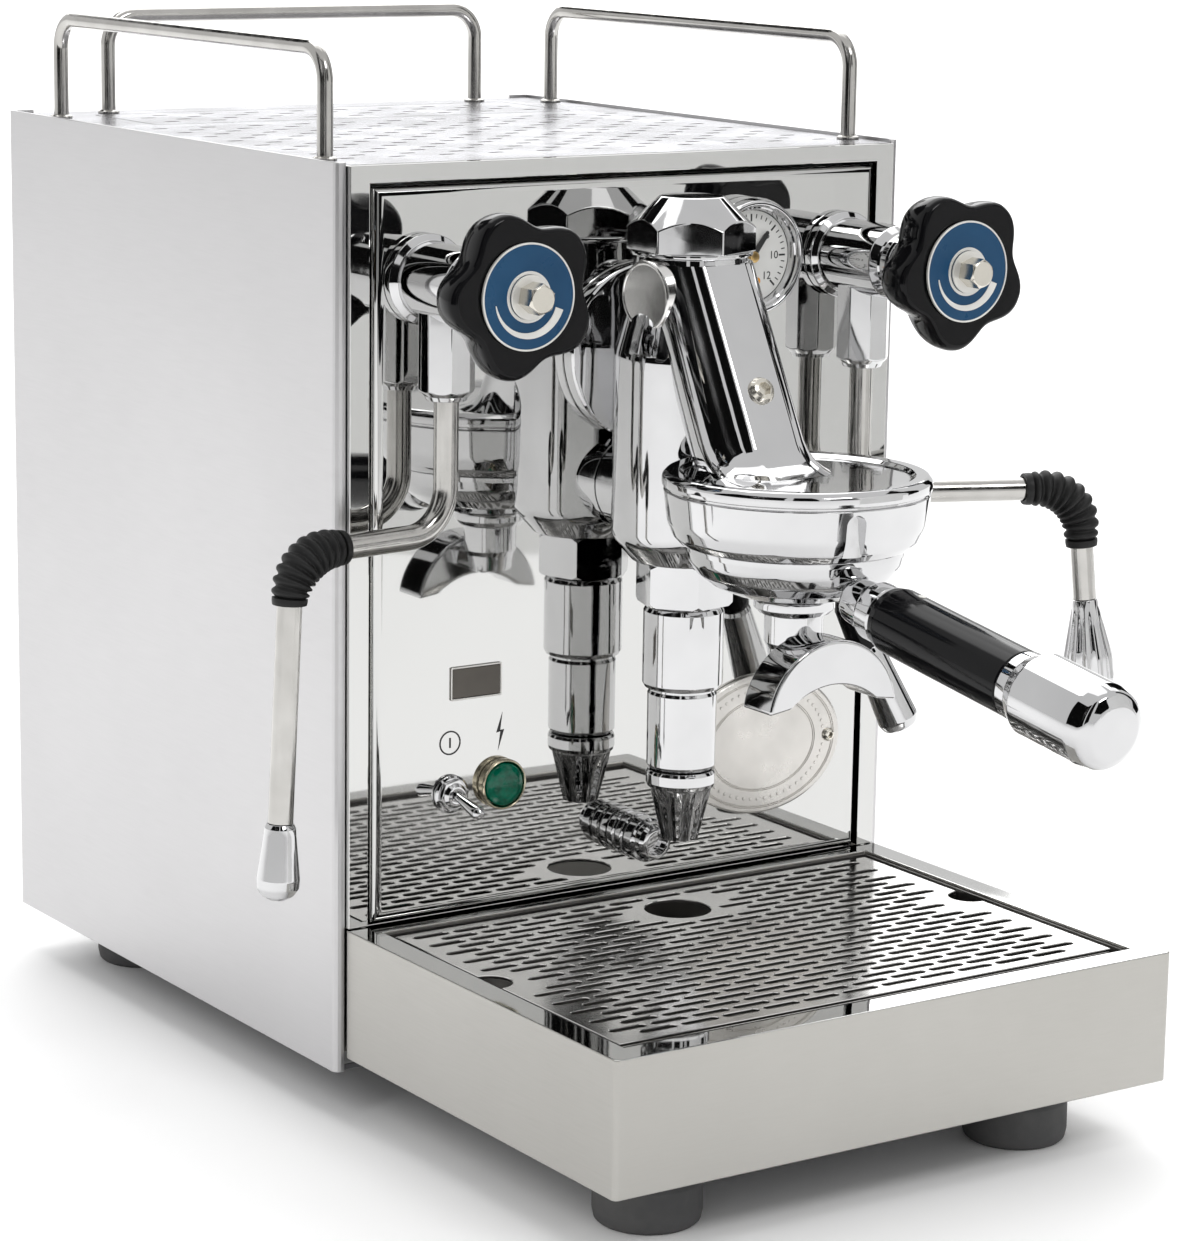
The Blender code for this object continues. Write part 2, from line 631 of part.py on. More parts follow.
def group(machine):
    height = COLUMN_TOP - COLUMN_BOTTOM
    edge = 0.0040
    column = [(0, 0), (COLUMN_RADIUS - 0.008, 0), (COLUMN_RADIUS - 0.002, 0.003), (COLUMN_RADIUS, 0.009)]
    column += [(COLUMN_RADIUS, 0.2800 - COLUMN_BOTTOM), (0.0252, 0.2900 - COLUMN_BOTTOM)]
    column += [(0.0222, 0.3030 - COLUMN_BOTTOM), (0.0205, height), (0, height)]
    base = COLUMN + Vector((0, 0, COLUMN_BOTTOM))
    body = put("group_body", turned(column, base, sides=32), CHROME, machine)
    flare = ((0.2440, 0.0140), (0.2474, 0.0078), (0.2506, 0.0024), (0.2560, 0.0))
    neck = [neck_level(z, grow) for z, grow in flare] + [neck_level(NECK_TOP.z - 0.0006)]
    combine(body, loft(neck), "UNION")
    plug = [(0, 0), (0.0140, 0), (0.0140, 0.0030), (0.0126, 0.0066), (0, 0.0066)]
    combine(body, turned(plug, PLUG, (-1, 0, 0), 28), "UNION")
    flange = [(x + GROUP_X, z + 0.2800) for x, z in arc((0, 0), 0.0330, 0, 360, 24)[:-1]]
    combine(body, prism(flange, ON_PANEL - 0.0080, ON_PANEL, "Y"), "UNION")
    lower = [(x + GROUP_X, z + 0.2300) for x, z in arc((0, 0), 0.0180, 0, 360, 20)[:-1]]
    combine(body, prism(lower, -0.0300, ON_PANEL, "Y"), "UNION")

    skirt = [(0, BELL_CEILING), (BELL_BORE, BELL_CEILING), (BELL_BORE, BELL_BOTTOM + 0.0010)]
    skirt += [(BELL_RADIUS - 0.0065, BELL_BOTTOM), (BELL_RADIUS - 0.0040, BELL_BOTTOM + 0.0005)]
    skirt += [(BELL_RADIUS - 0.0026, BELL_BOTTOM + 0.0035), (BELL_RADIUS - 0.0010, 0.2400)]
    skirt += [(BELL_RADIUS, 0.2430), (BELL_RADIUS, BELL_RIM - 0.0015), (BELL_RADIUS - 0.0020, BELL_RIM)]
    skirt += [(BELL_RADIUS - 0.0060, BELL_RIM), (0.0260, 0.2470), (0, 0.2470)]
    combine(body, turned(skirt, BELL, sides=40), "UNION")

    cap_low = COLUMN_TOP + 0.0008 + GAP
    hexagon = prism(polygon((COLUMN.x, COLUMN.y), 0.0408, 6, 24.0), cap_low, 0.3400)
    cap = put("group_cap", hexagon, CHROME, machine)
    dome = [(0, cap_low - 0.002), (0.0240, cap_low - 0.002), (0.0240, 0.3290), (0.0120, 0.3400)]
    dome.append((0, 0.3400))
    combine(cap, turned(dome, COLUMN, sides=40), "INTERSECT")

    nut = prism(polygon((COLUMN.x, COLUMN.y), 0.0318, 6, 12.0), 0.1900, COLUMN_BOTTOM - GAP)
    chamber = put("lower_chamber", nut, CHROME, machine)
    barrel = [(0, 0.1275), (0.0118, 0.1275), (0.0128, 0.1290), (0.0130, 0.1560), (0.0126, 0.1575)]
    barrel += [(0.0138, 0.1580), (0.0150, 0.1600), (0.0150, 0.1880), (0.0138, 0.1905), (0.0138, 0.1940)]
    barrel.append((0, 0.1940))
    combine(chamber, turned(barrel, COLUMN), "UNION")

    cone = [(0, 0.1240), (0.0058, 0.1000), (0.0070, 0.1000), (0.0118, 0.1200), (0.0130, 0.1215)]
    cone += [(0.0130, 0.1262), (0.0126, 0.1272), (0, 0.1272)]
    put("drain_nozzle", turned(cone, COLUMN, sides=20), CHROME, machine)

    fitting = [(0, 0.0033), (0.0075, 0.0033), (0.0075, 0.0120), (0.0060, 0.0135), (0.0060, 0.0150)]
    fitting += [(0.0068, 0.0160), (0.0068, 0.0230), (0.0050, 0.0255), (0, 0.0255)]
    put("drain_fitting", turned(fitting, (0, 0, 0.0955), TOWARDS_USER, 14), CHROME, machine)

    screen = [(0, 0.2395), (0.0290, 0.2395), (0.0300, 0.2405), (0.0300, 0.2407), (0, 0.2407)]
    put("shower_screen", turned(screen, BELL, sides=32), BRUSHED, machine)


def brew_lever(machine):
    seat = [(0, 0), (0.0150, 0), (0.0150, 0.0150), (0.0135, 0.0165), (0, 0.0165)]
    start = Vector((COLUMN.x + COLUMN_RADIUS + GAP, LEVER_PIVOT.y, LEVER_PIVOT.z))
    put("cam_housing", turned(seat, start, (1, 0, 0), 8), CHROME, machine)
    turn = empty("brew_lever_pivot", LEVER_PIVOT, machine)
    hub_start = Vector((start.x + 0.0165 + GAP, LEVER_PIVOT.y, LEVER_PIVOT.z))
    hub = [(0, 0), (0.0080, 0), (0.0090, 0.002), (0.0090, 0.009), (0.0075, 0.011), (0, 0.011)]
    shaft = put("lever_shaft", turned(hub, hub_start, (1, 0, 0), 16), CHROME, turn)
    line = LEVER_END - LEVER_PIVOT
    direction, length = line.normalized(), line.length

    def station(fraction):
        return LEVER_PIVOT + direction * (length * fraction)

    combine(shaft, swept([station(0.0), station(0.42)], [0.0038, 0.0038], 12), "UNION")
    begin = length * 0.42 + GAP
    sleeve = ((0.0, 0.0045), (0.003, 0.0056), (0.018, 0.0064), (0.020, 0.0064))
    path = [LEVER_PIVOT + direction * (begin + along) for along, _ in sleeve]
    put("lever_grip", swept(path, [radius for _, radius in sleeve], 16), BLACK, turn)
    begin += 0.020 + GAP
    tip = length - begin
    cap = ((0.0, 0.0056), (0.002, 0.0062), (tip - 0.003, 0.0080), (tip, 0.0068))
    path = [LEVER_PIVOT + direction * (begin + along) for along, _ in cap]
    put("lever_cap", swept(path, [radius for _, radius in cap], 16), CHROME, turn)


# Portafilter


def portafilter(machine):
    drop = empty("portafilter_drop", BELL + Vector((0, 0, 0.225)), machine)
    turn = empty("portafilter_turn", BELL + Vector((0, 0, 0.225)), drop)
    rim = 0.2370
    lip = BELL_BOTTOM - GAP
    bowl = [(0.0030, 0.1985), (0.0125, 0.1985), (0.0145, 0.2005), (0.0145, 0.2045), (0.0230, 0.2060)]
    bowl += [(0.0300, 0.2090), (0.0352, 0.2130), (0.0384, 0.2170), (0.0392, 0.2200), (0.0392, lip)]
    bowl += [(0.0375, lip), (0.0375, rim), (0.0350, rim), (0.0350, 0.2140), (0.0290, 0.2100)]
    bowl += [(0.0030, 0.2085)]
    body = put("portafilter_body", turned(bowl, BELL, sides=36), CHROME, turn)
    arm_start = HANDLE_START - HANDLE_AXIS * 0.0229
    stages = ((0.0, 0.0040), (0.0040, 0.0085), (0.0130, 0.0085), (0.0150, 0.0105))
    stages += ((0.0220, 0.0105), (0.0226, 0.0098))
    path = [arm_start + HANDLE_AXIS * along for along, _ in stages]
    combine(body, swept(path, [radius for _, radius in stages], 20), "UNION")

    cup = [(0.0, 0.2125), (0.0300, 0.2125), (0.0325, 0.2150), (0.0335, rim + GAP), (0.0372, rim + GAP)]
    cup += [(0.0372, rim + 0.0015), (0.0325, rim + 0.0015), (0.0315, 0.2160), (0.0290, 0.2137)]
    cup.append((0.0, 0.2137))
    put("filter_basket", turned(cup, BELL, sides=32), BRUSHED, drop)

    spout_front, spout_back, middle = -0.1290, -0.1120, 0.1645
    outer = arc((GROUP_X, middle), 0.0280, 8, 172, 16)
    inner = arc((GROUP_X, 0.1475), 0.0290, 130, 50, 10)
    double = put("portafilter_spout", prism(outer + inner, spout_front, spout_back, "Y"), CHROME, turn)
    boss = [(0, 0.1860), (0.0095, 0.1860), (0.0105, 0.1880), (0.0105, 0.1985 - GAP), (0, 0.1985 - GAP)]
    combine(double, turned(boss, BELL, sides=20), "UNION")
    low = (GROUP_X - 0.0090, spout_front + 0.0040, 0.1780)
    combine(double, box(low, (GROUP_X + 0.0090, BELL.y + 0.0060, 0.1900)), "UNION")

    grip_stages = [(0.0, GRIP_RADIUS - 0.0018), (0.0018, GRIP_RADIUS), (GRIP_LENGTH - GAP, GRIP_RADIUS)]
    path = [HANDLE_START + HANDLE_AXIS * along for along, _ in grip_stages]
    put("portafilter_grip", swept(path, [radius for _, radius in grip_stages], 24), BLACK, turn)
    cap_start = HANDLE_START + HANDLE_AXIS * GRIP_LENGTH
    cap_stages = [(0.0, 0.0121), (0.0050, 0.0124), (0.0100, CAP_RADIUS), (CAP_LENGTH - 0.0060, CAP_RADIUS)]
    cap_stages += [(CAP_LENGTH - 0.0028, CAP_RADIUS - 0.0014), (CAP_LENGTH - 0.0008, CAP_RADIUS - 0.0040)]
    cap_stages += [(CAP_LENGTH, CAP_RADIUS - 0.0075)]
    path = [cap_start + HANDLE_AXIS * along for along, _ in cap_stages]
    put("portafilter_end_cap", swept(path, [radius for _, radius in cap_stages], 24), CHROME, turn)


# Valves, knobs and wands


def star(centre, radius, turn, per_lobe=7):
    """The knob's outline: a circle with a wave that leaves broad lobes. One lobe points along turn."""
    points = []
    count = KNOB_LOBES * per_lobe
    for i in range(count):
        angle = math.tau * i / count
        reach = radius - KNOB_WAVE * (0.5 - 0.5 * math.cos(KNOB_LOBES * angle)) ** 1.2
        place = angle + turn
        points.append((centre[0] + reach * math.cos(place), centre[1] + reach * math.sin(place)))
    return points


def knob(kind, machine):
    name, x, back = kind["name"], kind["x"], kind["knob_back"]
    turn = empty(name + "_knob_turn", (x, back, VALVE_Z + 0.001), machine)
    face = back - KNOB_DEPTH
    centre = (x, VALVE_Z + 0.001)
    levels = ((back, 0.86), (back - 0.005, 0.96), (back - 0.010, 1.0), (face + 0.0025, 1.0), (face, 0.94))
    rings = []
    for y, scale in levels:
        outline = star(centre, KNOB_RADIUS * scale, kind["knob_turn"])
        rings.append([Vector((u, y, w)) for u, w in outline])
    body = put(name + "_knob", loft(rings), BLACK, turn)
    reach = VALVE_END - GAP - back + 0.002
    stem = [(0, 0), (0.0070, 0), (0.0070, reach), (0, reach)]
    stem_start = (x, back - 0.002, VALVE_Z + 0.001)
    combine(body, turned(stem, stem_start, (0, 1, 0), 16), "UNION")
    plate = [(0, GAP), (0.0187, GAP), (0.0187, 0.0010), (0.0180, 0.0014), (0, 0.0014)]
    put(name + "_knob_disc", turned(plate, (x, face, centre[1]), TOWARDS_USER, 32), BLUE, turn)
    nut_back = face - 0.0014 - GAP
    hexagon = prism(polygon(centre, 0.0096, 6, 20.0), nut_back - 0.0085, nut_back, "Y")
    nut = put(name + "_knob_nut", hexagon, CHROME, turn)
    washer = [(0, 0), (0.0078, 0), (0.0078, 0.0008), (0, 0.0008)]
    combine(nut, turned(washer, (x, nut_back, centre[1]), TOWARDS_USER, 20), "UNION")


def valve(kind, machine):
    name, x = kind["name"], kind["x"]
    barrel = [(0, 0.0033), (0.0165, 0.0033), (0.0165, 0.0070), (VALVE_RADIUS, 0.0090)]
    barrel += [(VALVE_RADIUS, 0.0400), (0.0115, 0.0430), (0.0115, -VALVE_END), (0, -VALVE_END)]
    body = put(name + "_valve", turned(barrel, (x, 0, VALVE_Z), TOWARDS_USER), CHROME, machine)
    nut = prism(polygon((x, OUTLET_Y), 0.0190, 8, 22.5), OUTLET_BOTTOM + 0.0010, 0.3040)
    combine(body, nut, "UNION")
    collar = [(0, OUTLET_BOTTOM), (0.0078, OUTLET_BOTTOM), (0.0088, 0.2730), (0, 0.2730)]
    combine(body, turned(collar, (x, OUTLET_Y, 0), sides=16), "UNION")


def wand(kind, machine):
    """A tube that swivels under its valve: down, out along its heading, and down again."""
    name, x = kind["name"], kind["x"]
    swivel = empty(name + "_wand_swivel", (x, OUTLET_Y, OUTLET_BOTTOM), machine)
    outwards = Vector((math.cos(kind["heading"]), math.sin(kind["heading"]), 0))
    down = -Vector((0, 0, 1)) * math.cos(kind["lean"]) + outwards * math.sin(kind["lean"])
    top = Vector((x, OUTLET_Y, OUTLET_BOTTOM - GAP))
    elbow = Vector((x, OUTLET_Y, kind["level"]))
    shoulder = elbow + outwards * kind["reach"]
    end = shoulder + down * kind["leg"]
    path = rounded_path([top, elbow, shoulder, end], WAND_BEND)
    put(name + "_wand", swept(path, [WAND_RADIUS] * len(path), 12), CHROME, swivel)

    corners = [shoulder - outwards * 0.0225, shoulder, shoulder + down * kind["sleeve"]]
    sleeve_path = rounded_path(corners, WAND_BEND, 8)
    count = len(sleeve_path) - 1
    radii = [0.0062 + 0.0018 * math.sin(math.pi * i / count) for i in range(count + 1)]
    put(name + "_wand_grip", swept(sleeve_path, radii, 12, WAND_RADIUS + GAP), RUBBER, swivel)

    stages = TIPS[name]
    path = [end + down * (along + GAP) for along, _ in stages]
    put(name + "_wand_tip", swept(path, [radius for _, radius in stages], 16), CHROME, swivel)


def centre_on_footprint(machine):
    """Moves the whole machine so that the middle of its footprint is at X = Y = 0."""
    bpy.context.view_layer.update()
    graph = bpy.context.evaluated_depsgraph_get()
    lows, highs = [], []
    for item in bpy.data.objects:
        if item.type != "MESH" or item.hide_render:
            continue
        shape = item.evaluated_get(graph)
        corners = [shape.matrix_world @ Vector(corner) for corner in shape.bound_box]
        lows.append([min(corner[axis] for corner in corners) for axis in range(2)])
        highs.append([max(corner[axis] for corner in corners) for axis in range(2)])
    for axis in range(2):
        low = min(entry[axis] for entry in lows)
        high = max(entry[axis] for entry in highs)
        machine.location[axis] = -(low + high) / 2


def main():
    clear_scene()
    machine = empty("machine", (0, 0, 0))
    body_shell(machine)
    front_panel(machine)
    cup_tray(machine)
    tank_and_lid(machine)
    cup_rails(machine)
    feet(machine)
    internals(machine)
    tray(machine)
    gauge(machine)
    panel_fittings(machine)
    group(machine)
    brew_lever(machine)
    portafilter(machine)
    for kind in (STEAM, WATER):
        valve(kind, machine)
        knob(kind, machine)
        wand(kind, machine)
    centre_on_footprint(machine)


main()
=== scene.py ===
"""Looks for a one-group espresso machine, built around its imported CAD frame.

Design coordinates are used throughout, in metres: X = 0 at the middle of the body, Y = 0 at its
front, -Y towards the user and Z = 0 under the feet. put() moves each piece to the frame's own place.
"""

import math

import bmesh
import bpy
from mathutils import Matrix, Vector, geometry


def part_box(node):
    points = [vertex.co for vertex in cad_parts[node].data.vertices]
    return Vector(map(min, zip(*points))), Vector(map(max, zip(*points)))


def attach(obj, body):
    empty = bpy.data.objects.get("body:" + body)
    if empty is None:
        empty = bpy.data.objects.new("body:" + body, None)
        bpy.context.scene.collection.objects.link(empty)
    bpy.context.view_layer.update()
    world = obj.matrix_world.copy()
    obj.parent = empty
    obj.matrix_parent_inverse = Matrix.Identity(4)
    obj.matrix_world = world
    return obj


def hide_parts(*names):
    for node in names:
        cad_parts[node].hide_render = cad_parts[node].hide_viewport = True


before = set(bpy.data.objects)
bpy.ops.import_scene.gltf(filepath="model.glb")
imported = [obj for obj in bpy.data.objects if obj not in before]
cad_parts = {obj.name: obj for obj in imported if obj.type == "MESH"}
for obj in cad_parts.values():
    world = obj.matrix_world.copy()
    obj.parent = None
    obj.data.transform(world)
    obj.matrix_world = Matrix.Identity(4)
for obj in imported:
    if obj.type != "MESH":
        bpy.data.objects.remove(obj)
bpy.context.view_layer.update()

SHIFT = Vector(
    (
        (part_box("side_panel_left")[0].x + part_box("side_panel_right")[1].x) / 2,
        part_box("side_panel_left")[0].y,
        0.0,
    )
)
UP = Vector((0, 0, 1))
TOWARDS_USER = Vector((0, -1, 0))

# Sizes and places. The CAD has the same ones, apart from counts, slots and other fine detail
GAP = 0.0003  # Clearance between neighbouring pieces
INSIDE = 0.1232
GROUP_X = 0.002
COLUMN = Vector((GROUP_X, -0.0365, 0.0))
COLUMN_RADIUS = 0.0275
NECK_TOP = Vector((GROUP_X, -0.0386, 0.3172))
NECK_LEAN = 0.549
NECK_SCREW_Z = 0.2743
SIDE_PLUG = (-0.0145, -0.04, 0.305)
NECK_RADIUS, NECK_FLAT = 0.021, 0.019
BELL = Vector((GROUP_X, -0.104, 0.0))
BELL_RADIUS = 0.0478
BELL_RIM = 0.249
BELL_BOTTOM = 0.2235
DECK_TOP, DECK_THICK = 0.352, 0.0015
DECK_PITCH, DECK_SLOT = (0.0212, 0.0103), (0.0064, 0.0021)
RAIL_FOOT, RAIL_TOP, RAIL_RADIUS = 0.3523, 0.3915, 0.00295
GRILLE_SLOT, PLAIN_RADIUS, DRAIN_RADIUS = (0.015, 0.0034), 0.016, 0.0125
PANEL_FACE = -0.003
PANEL_HALF = 0.1115
PANEL_BOTTOM, PANEL_TOP = 0.0745, 0.3443
GAUGE = (0.0495, 0.3125)
GAUGE_START, GAUGE_STEP, GAUGE_TICKS = 225, 9, 31
NEEDLE_TURN = math.radians(38)
LAMP = (-0.0567, 0.1215)
TOGGLE = (-0.0782, 0.12)
BADGE = (0.0625, 0.1222)
BADGE_WIDEN = 1.36
DRAIN_Z = 0.0955
VALVE_Z = 0.311
OUTLET_Y = -0.0193
OUTLET_BOTTOM = 0.2695
WAND_BEND = 0.017
KNOB_RADIUS, LOBE_DEPTH, KNOB_LOBES = 0.0298, 0.0056, 5
VALVE_END = 0.052
HANDLE_SLOPE = math.radians(8.2)
HANDLE_AXIS = Vector((0.0, -math.cos(HANDLE_SLOPE), -math.sin(HANDLE_SLOPE)))
HANDLE_START = Vector((GROUP_X, -0.1597, 0.2061))
LEVER_BARE = 0.42  # The share of the lever that shows bare metal
LEVER_PIVOT = Vector((0.056, -0.0365, 0.222))
LEVER_END = Vector((0.0945, -0.051, 0.135))


# Materials


class Look:
    """A Principled material whose colour, gloss and relief drift a little over the surface."""

    def __init__(self, name, colour, roughness, metallic=0.0, **sockets):
        self.made = bpy.data.materials.new(name)
        self.made.use_nodes = True
        self.tree = self.made.node_tree
        self.shader = self.tree.nodes["Principled BSDF"]
        self.colour = colour
        self.roughness = roughness
        self.height = None
        self.shader.inputs["Base Color"].default_value = (*colour, 1.0)
        self.shader.inputs["Roughness"].default_value = roughness
        self.shader.inputs["Metallic"].default_value = metallic
        for socket, value in sockets.items():
            self.shader.inputs[socket.replace("_", " ")].default_value = value
        self.made.diffuse_color = (*colour, 1.0)
        self.place = self.node("ShaderNodeTexCoord").outputs["Object"]

    def node(self, kind, **values):
        made = self.tree.nodes.new(kind)
        for name, value in values.items():
            key = name.replace("_", " ")
            if key in made.inputs:
                made.inputs[key].default_value = value
            else:
                setattr(made, name, value)
        return made

    def link(self, source, target):
        self.tree.links.new(source, target)

    def noise(self, scale, stretch=(1, 1, 1), detail=3.0, rough=0.55):
        mapping = self.node("ShaderNodeMapping")
        mapping.inputs["Scale"].default_value = stretch
        self.link(self.place, mapping.inputs["Vector"])
        made = self.node("ShaderNodeTexNoise", Scale=scale, Detail=detail, Roughness=rough)
        self.link(mapping.outputs["Vector"], made.inputs["Vector"])
        return made.outputs["Fac"]

    def spread(self, source, low, high):
        made = self.node("ShaderNodeMapRange")
        made.inputs["From Min"].default_value = 0.3
        made.inputs["From Max"].default_value = 0.7
        made.inputs["To Min"].default_value = low
        made.inputs["To Max"].default_value = high
        self.link(source, made.inputs["Value"])
        return made.outputs["Result"]

    def tint(self, scale, other, share=1.0, stretch=(1, 1, 1)):
        """Colour drifts between the base colour and another one."""
        mix = self.node("ShaderNodeMix", data_type="RGBA")
        self.link(self.spread(self.noise(scale, stretch), 0.0, share), mix.inputs["Factor"])
        mix.inputs["A"].default_value = (*self.colour, 1.0)
        mix.inputs["B"].default_value = (*other, 1.0)
        self.link(mix.outputs["Result"], self.shader.inputs["Base Color"])
        return self

    def smudge(self, scale, low, high, stretch=(1, 1, 1)):
        """Roughness drifts, as on a surface that has been wiped."""
        self.link(
            self.spread(self.noise(scale, stretch, 4.0), low, high), self.shader.inputs["Roughness"])
        return self

    def relief(self, scale, depth, stretch=(1, 1, 1), detail=2.0, strength=1.0):
        bump = self.node("ShaderNodeBump", Strength=strength, Distance=depth)
        self.link(self.noise(scale, stretch, detail), bump.inputs["Height"])
        if self.height is not None:
            self.link(self.height, bump.inputs["Normal"])
        self.height = bump.outputs["Normal"]
        self.link(self.height, self.shader.inputs["Normal"])
        return self


LOOKS = {}


def add_look(key, name, colour, roughness, metallic, tint, smudge, relief, **sockets):
    """Makes the material that pieces ask for by its key.
    tint is (scale, other colour), smudge is (scale, least roughness, most), relief is (scale, depth).
    The last two may end with how far their noise is stretched along the axes."""
    made = Look(name, colour, roughness, metallic, **sockets)
    LOOKS[key] = made.tint(*tint).smudge(*smudge).relief(*relief).made
    return made


add_look("mirror", "mirror_steel", (0.62, 0.62, 0.61), 0.03, 1.0,
    (7, (0.59, 0.59, 0.58)), (11, 0.012, 0.045), (5, 0.00022))
add_look("chrome", "chrome_plate", (0.64, 0.64, 0.645), 0.05, 1.0,
    (30, (0.58, 0.58, 0.585)), (45, 0.02, 0.07), (55, 0.00005))
add_look("satin", "satin_steel", (0.57, 0.565, 0.57), 0.34, 1.0,
    (5, (0.535, 0.53, 0.535)), (60, 0.29, 0.38, (1, 1, 24)), (120, 0.00002, (1, 1, 30)))
add_look("deck", "deck_steel", (0.62, 0.62, 0.65), 0.24, 1.0,
    (6, (0.585, 0.585, 0.615)), (40, 0.2, 0.3), (90, 0.00002))
add_look("grille", "grille_steel", (0.8, 0.79, 0.775), 0.17, 1.0,
    (12, (0.72, 0.71, 0.695)), (60, 0.1, 0.22), (60, 0.00012))
# Painted shade: a dark steel put on slot walls, undersides and the tray liner, where only shade falls
add_look("shade", "painted_shade_steel", (0.16, 0.155, 0.15), 0.45, 1.0,
    (30, (0.11, 0.105, 0.1)), (60, 0.38, 0.55), (90, 0.00005))
add_look("tray", "brushed_tray", (0.48, 0.47, 0.445), 0.36, 1.0,
    (6, (0.445, 0.435, 0.41)), (70, 0.3, 0.42, (1, 1, 26)), (140, 0.000025, (0.5, 0.5, 30)))
add_look("plate", "badge_steel", (0.66, 0.64, 0.61), 0.3, 1.0,
    (40, (0.58, 0.565, 0.54)), (90, 0.24, 0.36, (1, 8, 1)), (260, 0.00002, (1, 1, 12)))
add_look("tube", "drawn_tube", (0.54, 0.53, 0.51), 0.16, 1.0,
    (60, (0.45, 0.44, 0.42)), (120, 0.1, 0.24, (2, 2, 0.4)), (300, 0.00002, (2, 2, 0.3)))
add_look("inner", "basket_steel", (0.6, 0.6, 0.6), 0.24, 1.0,
    (30, (0.5, 0.5, 0.5)), (60, 0.16, 0.32), (200, 0.00002))
add_look("black", "gloss_black", (0.0025, 0.0025, 0.003), 0.1, 0.0,
    (25, (0.004, 0.004, 0.0045)), (60, 0.06, 0.13), (90, 0.00003), IOR=1.27)
add_look("moulded", "moulded_black", (0.01, 0.01, 0.011), 0.42, 0.0,
    (40, (0.018, 0.018, 0.019)), (90, 0.34, 0.5), (700, 0.00004), IOR=1.35)
add_look("rubber", "rubber", (0.065, 0.065, 0.067), 0.72, 0.0,
    (60, (0.09, 0.089, 0.088)), (80, 0.62, 0.85), (900, 0.00006), IOR=1.4)
add_look("sleeve", "sleeve_rubber", (0.007, 0.007, 0.007), 0.42, 0.0,
    (90, (0.013, 0.013, 0.013)), (120, 0.42, 0.62), (900, 0.00005), IOR=1.34)
add_look("coat", "powder_coat", (0.075, 0.075, 0.08), 0.55, 0.0,
    (30, (0.095, 0.095, 0.1)), (50, 0.48, 0.62), (1200, 0.00006))
add_look("blue", "blue_enamel", (0.008, 0.048, 0.112), 0.34, 0.0,
    (50, (0.011, 0.058, 0.13)), (70, 0.24, 0.38), (500, 0.00002), IOR=1.3)
add_look("silver", "silver_print", (0.74, 0.73, 0.7), 0.36, 0.55,
    (90, (0.66, 0.65, 0.62)), (120, 0.28, 0.44), (600, 0.00001))
add_look("nickel", "nickel_nut", (0.72, 0.69, 0.62), 0.2, 1.0,
    (60, (0.66, 0.63, 0.57)), (90, 0.14, 0.28), (120, 0.00003))
add_look("brass", "brass", (0.7, 0.5, 0.22), 0.24, 1.0,
    (45, (0.56, 0.38, 0.16)), (70, 0.16, 0.36), (240, 0.00003))
add_look("ring", "pale_brass", (0.66, 0.6, 0.46), 0.22, 1.0,
    (45, (0.6, 0.53, 0.38)), (70, 0.16, 0.32), (240, 0.00003))
add_look("boiler", "boiler_brass", (0.62, 0.44, 0.2), 0.34, 1.0,
    (14, (0.42, 0.28, 0.15)), (40, 0.28, 0.5), (90, 0.00006))
add_look("dial", "dial_enamel", (0.74, 0.74, 0.72), 0.38, 0.0,
    (40, (0.7, 0.7, 0.68)), (60, 0.32, 0.46), (400, 0.00001))
# Black ink for print; the same black is also painted shade in the steam tip's jet holes
add_look("ink_and_hole_shade", "black_ink_and_hole_shade", (0.016, 0.016, 0.017), 0.46, 0.0,
    (90, (0.03, 0.03, 0.03)), (90, 0.4, 0.55), (700, 0.00001))
add_look("orange", "orange_enamel", (0.72, 0.3, 0.02), 0.36, 0.0,
    (90, (0.62, 0.25, 0.02)), (90, 0.3, 0.45), (700, 0.00001))
lens = add_look("lens", "green_lens", (0.0, 0.045, 0.026), 0.12, 0.0,
    (300, (0.0, 0.13, 0.075)), (90, 0.06, 0.16), (500, 0.00012), IOR=1.42, Emission_Strength=0.012)
add_look("glass", "display_glass", (0.075, 0.066, 0.055), 0.22, 0.0,
    (60, (0.095, 0.084, 0.07)), (60, 0.05, 0.12), (300, 0.00001), IOR=1.38)
add_look("grey", "grey_plastic", (0.26, 0.265, 0.28), 0.46, 0.0,
    (40, (0.32, 0.32, 0.33)), (80, 0.38, 0.56), (800, 0.00003))
add_look("clear", "clear_tank", (0.92, 0.95, 0.97), 0.06, 0.0,
    (20, (0.86, 0.91, 0.94)), (50, 0.03, 0.12), (60, 0.00004), Transmission_Weight=1.0, IOR=1.45)
lens.shader.inputs["Emission Color"].default_value = (0.0, 0.5, 0.22, 1.0)


# Helpers for shapes


def softened(points, radius, closed=False, steps=3, least=8.0):
    """Rounds the corners of a polyline. A point may carry its own radius as a third number.
    Corners that bend by fewer degrees than least stay as they are."""
    flat = [Vector(point[:2]) for point in points]
    count = len(flat)
    made = []
    for i, corner in enumerate(flat):
        own = points[i][2] if len(points[i]) > 2 else radius
        if own <= 0 or (not closed and i in (0, count - 1)):
            made.append(tuple(corner))
            continue
        into, out = corner - flat[i - 1], flat[(i + 1) % count] - corner
        if into.length < 1e-9 or out.length < 1e-9:
            continue
        bend = into.angle(out)
        if bend < math.radians(least):
            made.append(tuple(corner))
            continue
        cut = min(own * math.tan(bend / 2), 0.48 * into.length, 0.48 * out.length)
        start, end = corner - into.normalized() * cut, corner + out.normalized() * cut
        for k in range(steps + 1):
            t = k / steps
            spot = start * (1 - t) ** 2 + corner * (2 * t * (1 - t)) + end * t**2
            made.append(tuple(spot))
    return made


def moved(bm, matrix):
    bmesh.ops.transform(bm, matrix=matrix, verts=bm.verts[:])
    return bm


